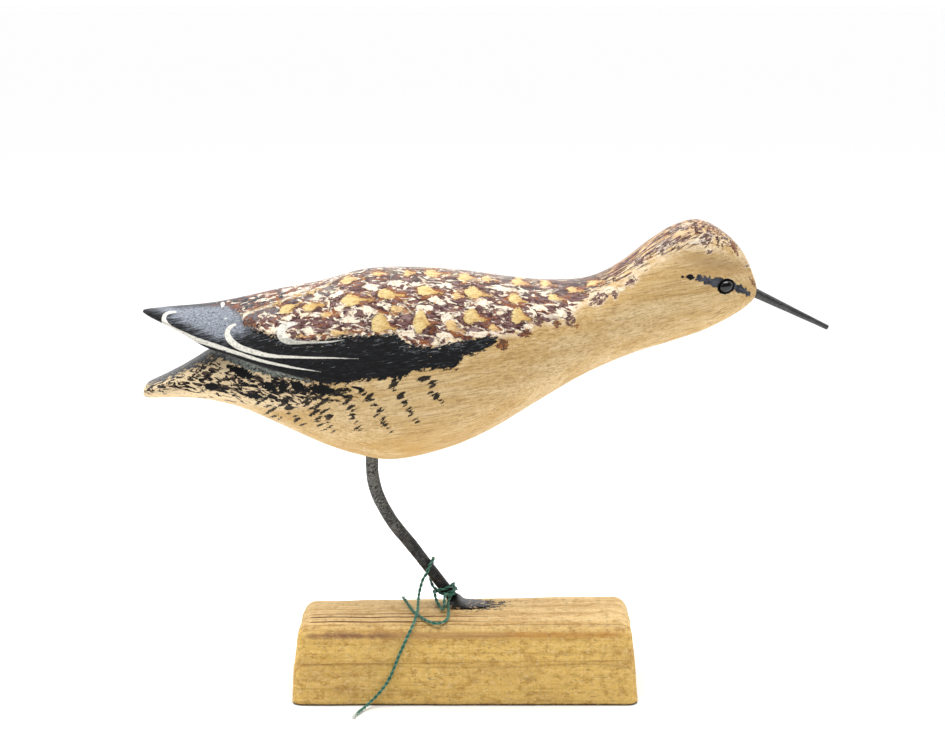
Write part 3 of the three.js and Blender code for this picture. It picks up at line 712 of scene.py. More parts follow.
CREAM_CHIPS = [
    (-69.3, 167.3, 6, 2.5, 30), (-60.7, 169.3, 6.5, 2.8, 25), (-60.2, 162.0, 6.5, 3.2, -66),
    (-47.6, 171.8, 7.5, 3.0, 5), (-81.6, 159.5, 5.5, 2.6, 20), (-68.9, 160.7, 6, 2.5, 8),
    (-56.2, 158.3, 10, 2.5, -3), (-48.4, 162.4, 8, 3.6, -20), (-87.7, 154.2, 5, 2.8, -42),
    (-72.6, 153.8, 7, 3.2, -8), (-61.9, 155.4, 3.5, 1.8, 0), (-37.3, 173.4, 11, 2.2, -2),
    (-27.9, 173.0, 6, 2.0, 0), (-16.8, 173.0, 11, 2.2, -5), (5.7, 171.4, 10, 2.0, -12),
    (-20.5, 166.1, 6.5, 2.2, -5), (-3.3, 166.0, 9, 2.2, -8), (-25.5, 163.4, 9, 3.2, -10),
    (25.0, 168.8, 6, 2.0, -6), (-16.4, 159.1, 4.6, 4.4, 70), (7.8, 163.0, 10, 2.6, -5),
    (22.1, 163.2, 9, 3.2, -10), (49.8, 170.6, 6, 3.6, 20), (87.7, 191.4, 8, 3.4, 18),
    (55.5, 171.2, 4, 2.4, 20), (-30.5, 152.6, 9, 3.0, 2), (-17.5, 151.8, 10, 3.0, 4),
    (-3.5, 152.4, 9, 3.2, 2), (30.5, 161.5, 6, 3.0, -6),
]
WING_CHIPS = [(-108.0, 164.7, 2.6, 1.8, 65), (-106.8, 159.0, 1.5, 0.9, 20), (-84.4, 158.0, 1.4, 0.8, 0)]
DARK_SPOTS = [
    (-2.5, 156.2, 6.5, 2.6, -4), (9.0, 160.0, 4.0, 6.0, 0), (21.3, 158.0, 5.5, 4.4, 30),
    (34.2, 158.4, 4.6, 6.2, 15), (46.2, 167.0, 8.0, 5.0, 28), (52.9, 168.8, 3.0, 4.2, 0),
    (59.8, 174.2, 5.4, 3.2, 30), (63.0, 182.0, 6.0, 2.8, 38), (74.0, 189.6, 5.6, 2.0, 8),
    (72.8, 187.2, 4.4, 1.4, 48), (90.2, 191.4, 4.6, 5.6, -60), (91.4, 186.6, 2.0, 3.0, -70),
    (107.3, 180.6, 1.2, 3.6, -70), (79.8, 196.0, 5.0, 1.6, 20), (-63.5, 147.5, 5.0, 1.8, 0),
    (-78.6, 152.2, 5.0, 3.6, -30),
]
RUST_SPOTS = [
    (16.6, 152.8, 4.6, 4.2, 10), (6.8, 148.2, 4.8, 4.6, 20), (28.9, 156.6, 3.6, 3.4, 0),
    (101.7, 188.0, 7.0, 2.4, -62), (-97.5, 157.2, 7.0, 4.2, -10), (109.6, 173.6, 4.4, 1.4, -60),
    (-22.0, 154.8, 4.0, 5.0, 60), (-8.0, 150.6, 5.0, 2.4, 10), (37.0, 155.8, 2.0, 1.8, 0),
    (1.5, 151.2, 4.6, 2.6, -30),
]
UNDER_PATCHES = [
    (-100.0, 136.9, 12.8, 4.0, -26), (-99.0, 131.9, 6.0, 2.2, -5), (-89.0, 131.0, 7.6, 3.4, -25),
    (-83.6, 130.6, 6.8, 3.8, 75), (-77.2, 130.9, 8.0, 4.6, -30), (-67.2, 129.7, 13.0, 4.8, -12),
    (-94.5, 126.8, 9.1, 2.4, -5), (-112.7, 130.9, 6.8, 3.6, 10),
]
FAN_HALF = 0.56         # of a fan's height, at its widest
LOZENGE_POWER = 1.4     # below 2, so a dab's ends are pointed
TICK_STEP = 1.7         # from tick to tick down a column
# Places along the bird, and how far below the wing's edge its grey underside is seen there
HOLLOW_DROP = ((-0.110, -0.095, -0.084, -0.071), (0.0028, 0.0042, 0.0032, 0.0006))


def dabs(place, rows, fan=False):
    """Distance in millimetres into the nearest dab, and the place within it as shares along and
    across with its number: a pointed lozenge, or a fan whose height falls from its notched round
    hind end to a narrow front."""
    deepest = np.full(len(place), -8.0)
    where_in = np.zeros((len(place), 3))
    for number, (a, b, length, height, rise) in enumerate(rows):
        slope = math.radians(rise)
        right, up = place[:, 0] - a, place[:, 1] - b
        share = (right * math.cos(slope) + up * math.sin(slope)) / (length / 2)
        over = up * math.cos(slope) - right * math.sin(slope)
        if fan:
            over = over + height * 0.14 * rise_between(share, -0.4, 1.0)
            narrowing = 1 - 0.84 * rise_between(share, -0.40, 0.60)
            behind = np.sqrt(np.clip(1 - ((share + 0.35) / 0.65) ** 2, 0, 1))
            full = np.where(share < -0.35, behind, narrowing)
            ray = over / (height * FAN_HALF * narrowing)
            notch = np.abs(np.sin(ray * 3.4 + number)) ** 3 * (1 - rise_between(share, -0.75, 0.1))
            depth = np.minimum(full * height * FAN_HALF - np.abs(over), (1 - np.abs(share)) * length / 2)
            depth = depth - 0.65 * notch
        else:
            ray = over / (height / 2)
            depth = (1 - np.abs(share) ** LOZENGE_POWER - np.abs(ray) ** LOZENGE_POWER) * height / 2
        inside = np.stack([share, np.clip(ray, -1.5, 1.5), np.full(len(place), float(number))], axis=1)
        where_in = np.where((depth > deepest)[:, None], inside, where_in)
        deepest = np.maximum(deepest, depth)
    return deepest, where_in


def tick_rows():
    """Ticks down each slanting column, shorter and less scattered towards its foot."""
    scatter, rows = np.random.default_rng(23), []
    for top, bottom in np.array(TICK_COLUMNS):
        for down in np.arange(0.02, 1.0, TICK_STEP / np.linalg.norm(bottom - top)):
            middle = top + (bottom - top) * down + scatter.normal(size=2) * (1.2 * (1 - 0.5 * down), 0.3)
            length = (5.2 - 2.6 * down) * scatter.uniform(0.6, 1.15)
            rows.append((*middle, length, length * scatter.uniform(0.24, 0.36), scatter.uniform(6, 38)))
    return rows


spread = np.stack([gentle_waves(flat, 0.030, seed) for seed in (15, 16)], axis=1)
spread = painted + np.where(far_side, 2.2, 0.0) * spread
ochre_fans, ochre_place = dabs(spread, OCHRE_FANS, fan=True)
tan_fans, tan_place = dabs(spread, TAN_FANS, fan=True)
fan_place = np.where((ochre_fans > tan_fans)[:, None], ochre_place, tan_place)
keep(mesh, "ochre_fans", ochre_fans)
keep(mesh, "tan_fans", tan_fans)
keep(mesh, "fan_share", fan_place[:, 0])
keep(mesh, "fan_place", fan_place * (0.5, 2.4, 1.7))
for name, where, rows in (
        ("cream_chips", spread, CREAM_CHIPS), ("dark_spots", spread, DARK_SPOTS),
        ("rust_spots", spread, RUST_SPOTS), ("wing_chips", painted, WING_CHIPS),
        ("stripe_dots", painted, STRIPE_DOTS), ("under_patches", painted, UNDER_PATCHES),
        ("ticks", painted, tick_rows())):
    keep(mesh, name, dabs(where, rows)[0])

# The grey underside of the wing, which narrows to its edge towards the shoulders. Its grey is partly the
# wing's own paint and partly painted light from the floor below.
wing_x, _, wing_z, _, _ = np.array(WING_RIBS).T
below_edge = np.interp(x, TAIL_X + wing_x * BIRD_LENGTH, BELLY_Z + wing_z * BIRD_HEIGHT) - z
hollow = (normals[:, 2] < -0.15) & (below_edge < 0.0045) | (below_edge < np.interp(x, *HOLLOW_DROP))
keep(mesh, "wing_hollow", hollow & (below_edge > 0.0006) & (x < -0.070) & (z > 0.127))

WOOD_PALE = (0.690, 0.515, 0.270)
WOOD_HONEY = (0.570, 0.375, 0.150)
WOOD_DARK = (0.270, 0.150, 0.058)
CREAM = (0.930, 0.820, 0.660)
PURPLE_BROWN = (0.058, 0.022, 0.021)
DULL_BROWN = (0.190, 0.100, 0.090)
LAVENDER_BROWN_AND_SHEEN = (0.340, 0.235, 0.225)
RUST = (0.290, 0.095, 0.032)
OCHRE = (0.620, 0.390, 0.130)
PALE_OCHRE = (0.760, 0.590, 0.270)
TAN = (0.600, 0.345, 0.140)
WING_BLACK = (0.0040, 0.0041, 0.0050)
# blue-grey of the wings' top: partly paint, partly painted sheen
WING_GREY_AND_SHEEN = (0.340, 0.370, 0.430)
# grey paint on the rim band and tail top, and painted highlight streaks on the wings
GREY_PAINT_AND_HIGHLIGHT = (0.150, 0.165, 0.185)
SPINE_GREY = (0.085, 0.082, 0.078)
LINE_CREAM = (0.880, 0.850, 0.760)
LINE_GREY = (0.560, 0.550, 0.480)
HOLLOW_GREY = (0.250, 0.280, 0.240)
STRIPE_GREY = (0.030, 0.031, 0.038)
TAIL_GREY = (0.050, 0.048, 0.052)
TAIL_CREAM = (0.860, 0.720, 0.500)
LOW_BELLY_HONEY = (0.560, 0.340, 0.100)
# painted shade in the channel over each eye
BROW_SHADE = (0.330, 0.195, 0.080)
WASH_TAN = (0.720, 0.560, 0.420)
NECK_GLAZE = (0.470, 0.230, 0.095)
FAN_TAN = (0.800, 0.560, 0.250)
OLD_OCHRE = (0.450, 0.250, 0.080)
MOTTLE_BROWN = (0.070, 0.045, 0.035)
TICK_BROWN = (0.028, 0.022, 0.020)
STRIPE_BLUE = (0.075, 0.080, 0.098)
RING_BLACK = (0.006, 0.006, 0.007)


def ragged(distance, grain, amount, edge=0.12):
    """Share of paint from a distance in millimetres, its edge moved by the brush's grain."""
    return ((grain - 0.5) * amount + distance).step(-edge, edge)


def bird_finish():
    """Bare pale wood below, with painted shade in the channel over each eye, and above it the paint
    in the order it went on: brown over the back and neck, fans of ochre and tan with cream chips
    between, black wings that turn blue-grey towards the tips, the blue-grey partly paint and partly
    painted sheen, with streaks of painted highlight, cream feather edges, the mottled tail, the
    flank's ticks and the eye stripe."""
    wood = Finish("painted_wood_carved", roughness=0.55, Specular_IOR_Level=0.12)
    x_place, height = wood.axis(0), wood.axis(2)

    # Bare wood
    bands = wood.noise((0.010, 0.16, 0.16), tilt=8, detail=3)
    streaks = wood.noise((0.045, 1.5, 1.5), tilt=10, detail=5, rough=0.70, warp=0.2)
    pores = wood.noise((0.28, 3.0, 3.0), tilt=11, detail=3, rough=0.6)
    fine = wood.noise(0.9, detail=6, rough=0.68)
    soiled = wood.noise((0.05, 0.10, 0.10), shift=(3, 3, 3), detail=5, rough=0.6)
    specks = wood.noise((1.5, 2.7, 2.7), tilt=15, shift=(31, 7, 12), detail=2)
    # Darker honey towards the underside of the belly
    low = height.step(0.118, 0.100) * (soiled + streaks * 0.5).step(0.60, 0.90)
    low = low * x_place.step(-0.085, -0.050) * x_place.step(0.040, 0.000)
    colour = bands.step(0.36, 0.66).mix(WOOD_PALE, WOOD_HONEY)
    for paint, share, strength in (
            (WOOD_HONEY, soiled.step(0.44, 0.64), 0.60), (WOOD_DARK, streaks.step(0.49, 0.62), 0.54),
            (WOOD_DARK, pores.step(0.56, 0.67), 0.54), (CREAM, streaks.step(0.45, 0.32), 0.32),
            (CREAM, fine.step(0.44, 0.34), 0.18), (WOOD_DARK, fine.step(0.54, 0.66), 0.35),
            # painted shade darkens the channel over each eye
            (LOW_BELLY_HONEY, low, 0.70), (BROW_SHADE, wood.attribute("brow_dirt"), 0.62),
            (PURPLE_BROWN, specks.step(0.715, 0.775), 0.65)):
        colour = colour.under(paint, share, strength)

    # Cream wash that the brown was brushed over
    mantle = wood.attribute("mantle")
    neck = x_place.step(0.030, 0.048)
    wash = wood.noise((0.20, 0.5, 0.5), shift=(5, 0, 0), detail=5, rough=0.6)
    washed = mantle.step(-2.5, 2.0) * wash.step(0.36, 0.54)
    colour = colour.under(fine.step(0.48, 0.66).mix(CREAM, WASH_TAN), washed, 0.95 - neck * 0.62)
    glazed = (wash * 9.0 + mantle).step(9.5, 13.5) * neck
    colour = colour.under(NECK_GLAZE, glazed, 0.56 - x_place.step(0.055, 0.075) * 0.34)

    # Brown: broad chips on the back, thin strokes up the neck and over the crown
    broad = wood.noise((0.15, 0.29, 0.29), tilt=-8, detail=6, rough=0.62, warp=0.9)
    strokes = wood.noise((0.10, 0.90, 0.90), tilt=36, detail=6, rough=0.66, warp=0.45)
    tone = wood.noise((0.35, 0.8, 0.8), shift=(0, 9, 0), detail=4)
    dry_brush_and_sheen = wood.noise((0.20, 0.55, 0.55), tilt=-14, shift=(8, 0, 2), detail=5, rough=0.62, warp=0.5)
    rusty = wood.noise((0.17, 0.40, 0.40), shift=(13, 0, 4), detail=5, rough=0.6, warp=0.5)
    blotch = broad + (strokes - broad) * neck
    cover = blotch + mantle.held(-3.5, 3.5) * (0.13 / 3.5) + neck * (mantle.step(3.0, 9.0) * 0.042 - 0.088)
    brown = cover.step(0.556, 0.574)
    brown_colour = tone.step(0.42, 0.60).mix(PURPLE_BROWN, DULL_BROWN)
    # Lilac brown over the back: partly dry-brushed paint, partly a painted sheen of the light overhead
    brown_colour = brown_colour.under(LAVENDER_BROWN_AND_SHEEN, dry_brush_and_sheen.step(0.52, 0.60), 0.65)
    rust = (rusty + mantle.step(5.0, 0.5) * 0.07).step(0.565, 0.62)
    colour = colour.under(brown_colour.under(RUST, rust, 0.80), brown)

    # A blue-grey band along the upper edge of the back feathers, and grey brushed along the spine
    # where both sides meet
    rim, rim_half = wood.attribute("rim"), wood.attribute("rim_half")
    banded = ragged(1.7 - abs(rim + 2.3), broad, 7.0, edge=0.3) * rim_half.step(0.02, 0.25)
    colour = colour.under(fine.step(0.42, 0.60).mix(GREY_PAINT_AND_HIGHLIGHT, DULL_BROWN), banded, 0.85)
    spine = wood.attribute("spine") * dry_brush_and_sheen.step(0.60, 0.46) * mantle.step(-1.0, 2.0)
    colour = colour.under(SPINE_GREY, spine, 0.62)

    # Fans of ochre and tan, and the cream chips round them
    edge_grain = wood.noise((0.45, 1.1, 1.1), tilt=24, detail=5, rough=0.65, warp=0.4)
    chip = wood.noise((0.20, 0.50, 0.50), tilt=-14, shift=(3, 3, 0), detail=6, rough=0.62, warp=0.9)
    lace = wood.noise((0.45, 1.1, 1.1), tilt=34, shift=(6, 1, 0), detail=6, rough=0.66, warp=0.5)
    rays = wood.texture(wood.attribute("fan_place", output="Vector"), detail=3, rough=0.6)
    ochre, tan = wood.attribute("ochre_fans"), wood.attribute("tan_fans")
    back_only = mantle.step(-1.0, 0.6)
    chips = chip.step(0.562, 0.585) * back_only * x_place.step(0.034, 0.020)
    chips = chips | ragged(wood.attribute("cream_chips"), chip, 7.5, edge=0.15)
    colour = colour.under(fine.step(0.52, 0.66).mix(CREAM, TAN), chips, 0.94 - neck * 0.34)
    tan_share = ragged(tan, edge_grain, 5.0) * back_only
    towards_tip = (wood.attribute("fan_share") + rays * 3.6 + fine).step(1.75, 2.90)
    colour = colour.under(towards_tip.mix(FAN_TAN, TAN), tan_share, 0.92)
    outlined = ragged((ochre | tan) + 1.1, edge_grain, 5.0) * back_only * chip.step(0.58, 0.53)
    colour = colour.under(rusty.step(0.46, 0.54).mix(PURPLE_BROWN, RUST), outlined - tan_share, 0.75)
    ochre_share = ragged(ochre, edge_grain, 4.2) * back_only
    ochre_colour = towards_tip.mix(PALE_OCHRE, OCHRE).under(OLD_OCHRE, edge_grain.step(0.50, 0.60), 0.60)
    colour = colour.under(ochre_colour, ochre_share, 0.96)

    # Dark spots on a cream ground along the neck, and rust spots along the mantle's edge
    dark_spots = wood.attribute("dark_spots")
    colour = colour.under(CREAM, ragged(dark_spots + 0.5, lace, 9.0, edge=1.6) * neck, 0.50)
    spotted = ragged(dark_spots, edge_grain, 8.0) * lace.step(0.40, 0.47)
    colour = colour.under(fine.step(0.42, 0.62).mix(PURPLE_BROWN, DULL_BROWN), spotted, 0.95)
    rust_spots = ragged(wood.attribute("rust_spots"), edge_grain, 8.0)
    colour = colour.under(fine.step(0.45, 0.60).mix(PURPLE_BROWN, RUST), rust_spots, 0.90)

    # Black wings with a blue-grey top that is partly paint and partly painted sheen of the light overhead,
    # brushed along the feathers
    brushed = wood.noise((0.11, 1.7, 1.7), tilt=8, detail=5, rough=0.65, warp=0.2)
    grain = wood.noise((1.0, 1.6, 1.6), tilt=-20, detail=4, rough=0.7)
    speckled = wood.noise((1.5, 1.9, 1.9), tilt=15, shift=(0, 3, 3), detail=2)
    strip_grain = wood.noise((0.20, 0.75, 0.75), tilt=20, shift=(2, 2, 2), detail=5, rough=0.62, warp=0.6)
    highlight_streaks = wood.noise((0.22, 1.9, 1.9), tilt=9, shift=(0, 0, 17), detail=5, rough=0.66, warp=0.25)
    flecks = wood.noise((0.55, 1.7, 1.7), tilt=6, shift=(9, 0, 0), detail=3, rough=0.6)
    winged = ragged(wood.attribute("wing"), edge_grain, 7.5, edge=0.22)
    grey_top, far_strip = wood.attribute("grey_top"), wood.attribute("far_strip")
    # Share of blue-grey: partly paint, partly painted sheen on the wings' top
    grey = grey_top.step(-2.0, 7.0) + (brushed - 0.5) * 2.0 - (x_place.step(-0.122, -0.140) * 0.34 - 0.14)
    grey = grey.step(0.10, 0.85) * grey_top.step(-4.0, -0.5) * (1.0 - far_strip * 0.86)
    grey = grey * (grain.step(0.34, 0.60) * 0.65 + 0.35)
    strip = far_strip * x_place.step(-0.122, -0.100)
    strip_brown = strip * (strip_grain + x_place.step(-0.110, -0.075) * 0.10).step(0.53, 0.56)
    strip_chips = strip * (chip + x_place.step(-0.115, -0.070) * 0.09).step(0.61, 0.64)
    near_back = mantle.step(-6.0, -0.5) * 0.10
    wing_colour = grey.mix(WING_BLACK, WING_GREY_AND_SHEEN)
    for paint, share, strength in (
            (WING_BLACK, speckled.step(0.54, 0.66), 0.45),
            (tone.step(0.42, 0.56).mix(DULL_BROWN, RUST), strip_brown, 0.90), (CREAM, strip_chips, 0.85),
            # the next two rows are painted highlights: thin pale grey streaks along the black wing
            (GREY_PAINT_AND_HIGHLIGHT, highlight_streaks.step(0.46, 0.66), 0.07),
            (GREY_PAINT_AND_HIGHLIGHT, (highlight_streaks + near_back).step(0.635, 0.70), 0.80),
            (tone.step(0.45, 0.55).mix(RUST, CREAM), (flecks + near_back).step(0.745, 0.765), 0.8)):
        wing_colour = wing_colour.under(paint, share, strength)
    colour = colour.under(wing_colour, winged)

    # Cream feather edges
    edges, halves = wood.attribute("feather_edge", "Vector"), wood.attribute("feather_half", "Vector")
    beside = wood.node("ShaderNodeVectorMath", [edges], operation="ABSOLUTE")
    inside = wood.node("ShaderNodeVectorMath", [halves, beside], operation="SUBTRACT")
    first, second, third = (wood.node("ShaderNodeSeparateXYZ", [inside], output=k) for k in range(3))
    lines = ragged((first | second | third) - 0.15, fine, 0.8, edge=0.14)
    colour = colour.under(fine.step(0.46, 0.66).mix(LINE_CREAM, LINE_GREY), lines, 0.95)
    rim_line = ragged(rim_half - abs(rim), edge_grain, 3.4, edge=0.2)
    colour = colour.under(tone.step(0.40, 0.55).mix(LINE_CREAM, OCHRE), rim_line, 0.75)
    colour = colour.under(LINE_CREAM, ragged(wood.attribute("wing_chips"), fine, 1.5), 0.95)

    # Tail: dark above, and mottled black along the side and under the wings; the black band just under the
    # wings' edge is partly paint and partly painted shade under the overhang
    tail = wood.attribute("tail_paint")
    mottle = wood.noise((0.20, 0.66, 0.66), tilt=-10, shift=(0, 4, 0), detail=6, rough=0.62, warp=0.8)
    off_wing = 1.0 - winged
    creamy = (tail + fine * 3.0).step(-1.0, 2.0) * x_place.step(-0.058, -0.078) * off_wing
    mottled = (mottle + tail.held(-3.5, 3.5) * (0.10 / 3.5)).step(0.580, 0.600)
    mottled = mottled * off_wing * tail.step(-5.0, -3.0)
    hollow = (wood.attribute("wing_hollow") + (fine - 0.5) * 0.8).step(0.35, 0.65)
    black_and_shade_under_wing = ragged(wood.attribute("under_wing") - 1.2, mottle, 11.0, edge=0.3) * lace.step(0.45, 0.50)
    black_and_shade_under_wing = black_and_shade_under_wing | ragged(wood.attribute("under_patches"), lace, 6.0, edge=0.15)
    top = ragged(wood.attribute("tail_top"), mottle, 15.0, edge=0.35)
    colour = colour.under(TAIL_CREAM, creamy, 0.50)
    colour = colour.under(tone.step(0.45, 0.62).mix(WING_BLACK, MOTTLE_BROWN), mottled)
    # grey under the wing's edge: partly paint, partly painted light from the floor
    colour = colour.under(fine.step(0.40, 0.60).mix(HOLLOW_GREY, TAIL_GREY), hollow)
    colour = colour.under(WING_BLACK, black_and_shade_under_wing * (1.0 - hollow))
    colour = colour.under(fine.step(0.44, 0.68).mix(TAIL_GREY, GREY_PAINT_AND_HIGHLIGHT), top)

    # Ticks in slanting columns down the flank
    dry = wood.noise((0.50, 2.3, 2.3), tilt=24, detail=4, rough=0.6)
    ticked = ragged((dry - 0.45) * 2.2 + wood.attribute("ticks"), fine, 0.8)
    colour = colour.under(tone.step(0.35, 0.55).mix(TICK_BROWN, WING_BLACK), ticked, 0.97)

    # Eye stripe, brushed on drily and broken, and the ring of paint round the glass
    flaked = wood.noise((0.50, 0.60, 0.60), shift=(8, 8, 8), detail=5)
    stripe = ragged(wood.attribute("stripe"), flaked, 5.0, edge=0.08)
    dots = ragged(wood.attribute("stripe_dots"), edge_grain, 3.0)
    colour = colour.under(tone.step(0.40, 0.60).mix(STRIPE_GREY, STRIPE_BLUE), stripe)
    colour = colour.under(RING_BLACK, ragged(wood.attribute("eye_ring"), fine, 1.0) | dots)

    # Sheen and relief: paint is smoother than the wood, with the brush's ridges in it
    paint = winged | top | (brown | ochre_share) * 0.7
    rough = (paint + (fine - 0.5) * 0.5).between(0.60, 0.29)
    grain_bump = wood.bump(streaks + fine * 0.6, 0.00030, strength=0.6)
    ridges = (brushed * 1.2 + highlight_streaks * 0.7 + grain * 0.5) * paint + (chips | ochre_share) * 0.5
    relief = wood.bump(ridges, 0.00045, strength=0.85, under=grain_bump)
    return wood.join(Base_Color=colour, Roughness=rough, Normal=relief)


mesh.materials.append(bird_finish())
bird = placed("carved_bird_form", mesh)
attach(bird, "root")
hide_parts("carved_bird")

# The bill: a slim round peg that tapers to a cut end. It is painted dark grey and stands in a
# hole bored in the face.
BILL_ROOT_PLACE = np.array((0.10988, 0, 0.16495))
BILL_SLOPE = math.radians(25.5)
BILL_WAY = np.array((math.cos(BILL_SLOPE), 0, -math.sin(BILL_SLOPE)))
# Millimetres along from the face, and radius
BILL_PROFILE = [(-8.0, 1.66), (-1.5, 1.90), (0.0, 2.00), (3.5, 1.86), (9.0, 1.68), (16.0, 1.47),
                (24.0, 1.24), (30.5, 1.08), (32.4, 1.03), (32.9, 0.90)]
BILL_UNEVENNESS = 0.035     # of the radius
DARK_GREY = (0.017, 0.018, 0.020)
WORN_GREY = (0.085, 0.086, 0.082)


def turned_form(line, radii, sides):
    """A round form about a line of places: each ring lies square to the line, and the ends are
    closed with points on the line."""
    _, across, over = carried_frames(line)
    angle = ring_angles(sides)[None, :, None]
    rings = np.cos(angle) * across[:, None] + np.sin(angle) * over[:, None]
    return closed_form(line[:, None] + radii[:, None, None] * rings, line[[0, -1]])


def bill_finish():
    """Dark grey paint, brushed along the bill and worn paler in fine streaks."""
    paint = Finish("grey_painted_bill", roughness=0.36, Specular_IOR_Level=0.5)
    streaks = paint.noise((0.25, 2.2, 2.2), tilt=math.degrees(BILL_SLOPE), detail=5, rough=0.65)
    tone = streaks * 0.7 + paint.noise(2.2) * 0.3
    colour = tone.step(0.42, 0.66).mix(DARK_GREY, WORN_GREY)
    return paint.join(Base_Color=colour, Normal=paint.bump(tone, 0.00016, strength=0.6))


run, radius = np.array(BILL_PROFILE).T * MM
steps = np.concatenate([np.linspace(run[0], run[-2], 150), np.linspace(run[-2], run[-1], 8)[1:],
                        [run[-1] + 0.0001]])
radii = np.interp(steps, run, radius)
radii[-1] *= 0.5
points, faces = turned_form(BILL_ROOT_PLACE + steps[:, None] * BILL_WAY, radii, 40)
around = points[:-2]
on_axis = BILL_ROOT_PLACE + ((around - BILL_ROOT_PLACE) @ BILL_WAY)[:, None] * BILL_WAY
points[:-2] += (around - on_axis) * (BILL_UNEVENNESS * gentle_waves(around, 0.006, 21))[:, None]
bill = new_piece("bill_peg", points, faces, bill_finish())
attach(bill, "root")
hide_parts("bill")

# The eyes: domes of black glass pressed into holes, longer than high and tilted up to the front.
EYE_SIZE = (0.0029, 0.0018, 0.0023)     # half length, half thickness and half height
EYE_OUT = 0.01342                       # from the bird's middle to the middle of the glass
GLASS_BLACK = (0.003, 0.003, 0.004, 1)


def eye_form(side, rings=34, sides=56):
    """An ellipsoid with its poles outward and inward, its long axis tilted."""
    across = np.linspace(0, np.pi, rings + 2)[1:-1, None]
    angle = ring_angles(sides)[None] * side
    long_way = EYE_SIZE[0] * np.sin(across) * np.cos(angle)
    high_way = EYE_SIZE[2] * np.sin(across) * np.sin(angle)
    level, lean = math.cos(EYE_TILT), math.sin(EYE_TILT)
    rings_at = np.stack([EYE_PLACE[0] + long_way * level - high_way * lean,
                         side * (EYE_OUT - EYE_SIZE[1] * np.cos(across)) + 0 * angle,
                         EYE_PLACE[2] + long_way * lean + high_way * level], axis=-1)
    poles = [(EYE_PLACE[0], side * (EYE_OUT + k * EYE_SIZE[1]), EYE_PLACE[2]) for k in (-1, 1)]
    return closed_form(rings_at, poles)


glass = Finish("black_glass", roughness=0.06, Base_Color=GLASS_BLACK, IOR=1.52)
glass.join(Roughness=glass.noise(1.6, detail=5).between(0.05, 0.22, 0.4, 0.75))
for side, node in ((-1, "right_eye"), (1, "left_eye")):
    eye = new_piece(node + "_glass", *eye_form(side), glass.material)
    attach(eye, "root")
    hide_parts(node)

# The leg: one round rod, bent at the knee and let into belly and block, with a foot of filler
# modelled round it on the block. Rod and foot are painted dark grey and black in one go.
ROD_RADIUS = 0.00262
ROD_AT_KNOT = 0.00244       # its radius near the knot
HIP = np.array((-0.04687, 0, 0.1148))
LEG_FOOT = np.array((-0.01227, 0, 0.0348))
LEG_REACH = 0.0346
LEG_RISE = 0.062
LEG_IN_BASE = 0.014
# Bends of the rod, as shares of its reach and rise above the block
LEG_BENDS = [(0, 0.9), (0.02, 0.822), (0.058, 0.745), (0.211, 0.581), (0.5, 0.37), (1, 0)]
LEG_GRAIN = 0.00024         # spacing of the finished surface's points
FOOT_LENGTH = 0.017
FOOT_BEHIND = 0.004         # how far the filler reaches behind the rod
FOOT_FRONT = 0.0025         # how far its middle lies towards the viewer
FOOT_HALF_WIDTH = 0.0078
FOOT_HEIGHT = 0.0010
FOOT_IN_BASE = 0.002
FILLER_CLIMB = 0.0032       # up the rod
BASE_MIDDLE = -0.00867
BASE_HALF_LENGTH = 0.0705
BASE_HALF_DEPTH = 0.031
BASE_SIDE_HEIGHT = 0.032
BASE_CREST_Y = 0.004
BASE_CROWN = 0.0029
BASE_CROWN_RISE = 0.0012    # how much higher the crown is at the bill's end than in the middle
BASE_BACK_FALL = 0.0115     # how far the block's top drops towards its back
LEG_GREY = (0.230, 0.230, 0.212)
LEG_BLACK = (0.0050, 0.0050, 0.0060)
BARE_FILLER = (0.420, 0.290, 0.170)


def through(points, per_span=24):
    """A line through the points: on each span a cubic whose slopes allow for the spans' unequal
    lengths, each measured by the root of the distance between its points."""
    points = np.vstack([2 * points[0] - points[1], points, 2 * points[-1] - points[-2]])
    spans = np.sqrt(np.linalg.norm(np.diff(points, axis=0), axis=1))[:, None]
    a, b, c, d = points[:-3], points[1:-2], points[2:-1], points[3:]
    before, here, after = spans[:-2], spans[1:-1], spans[2:]
    leave = ((b - a) / before - (c - a) / (before + here) + (c - b) / here) * here
    arrive = ((c - b) / here - (d - b) / (here + after) + (d - c) / after) * here
    u = np.linspace(0, 1, per_span, endpoint=False)[None, :, None]
    b, c, leave, arrive = (each[:, None] for each in (b, c, leave, arrive))
    line = (b + leave * u + (3 * (c - b) - 2 * leave - arrive) * u ** 2
            + (2 * (b - c) + leave + arrive) * u ** 3)
    return np.vstack([line.reshape(-1, 3), points[-2]])


def block_top(x, y):
    """Height of the block's crowned top, which rises a little towards the bill and falls away at
    the back."""
    along = (x - BASE_MIDDLE) / BASE_HALF_LENGTH
    across = np.clip((y - BASE_CREST_Y) / (BASE_HALF_DEPTH + BASE_CREST_Y), -1, 1)
    crown = (BASE_CROWN + BASE_CROWN_RISE * along) * (1 - across ** 2)
    return BASE_SIDE_HEIGHT + crown - BASE_BACK_FALL * (np.maximum(y, 0) / BASE_HALF_DEPTH) ** 2


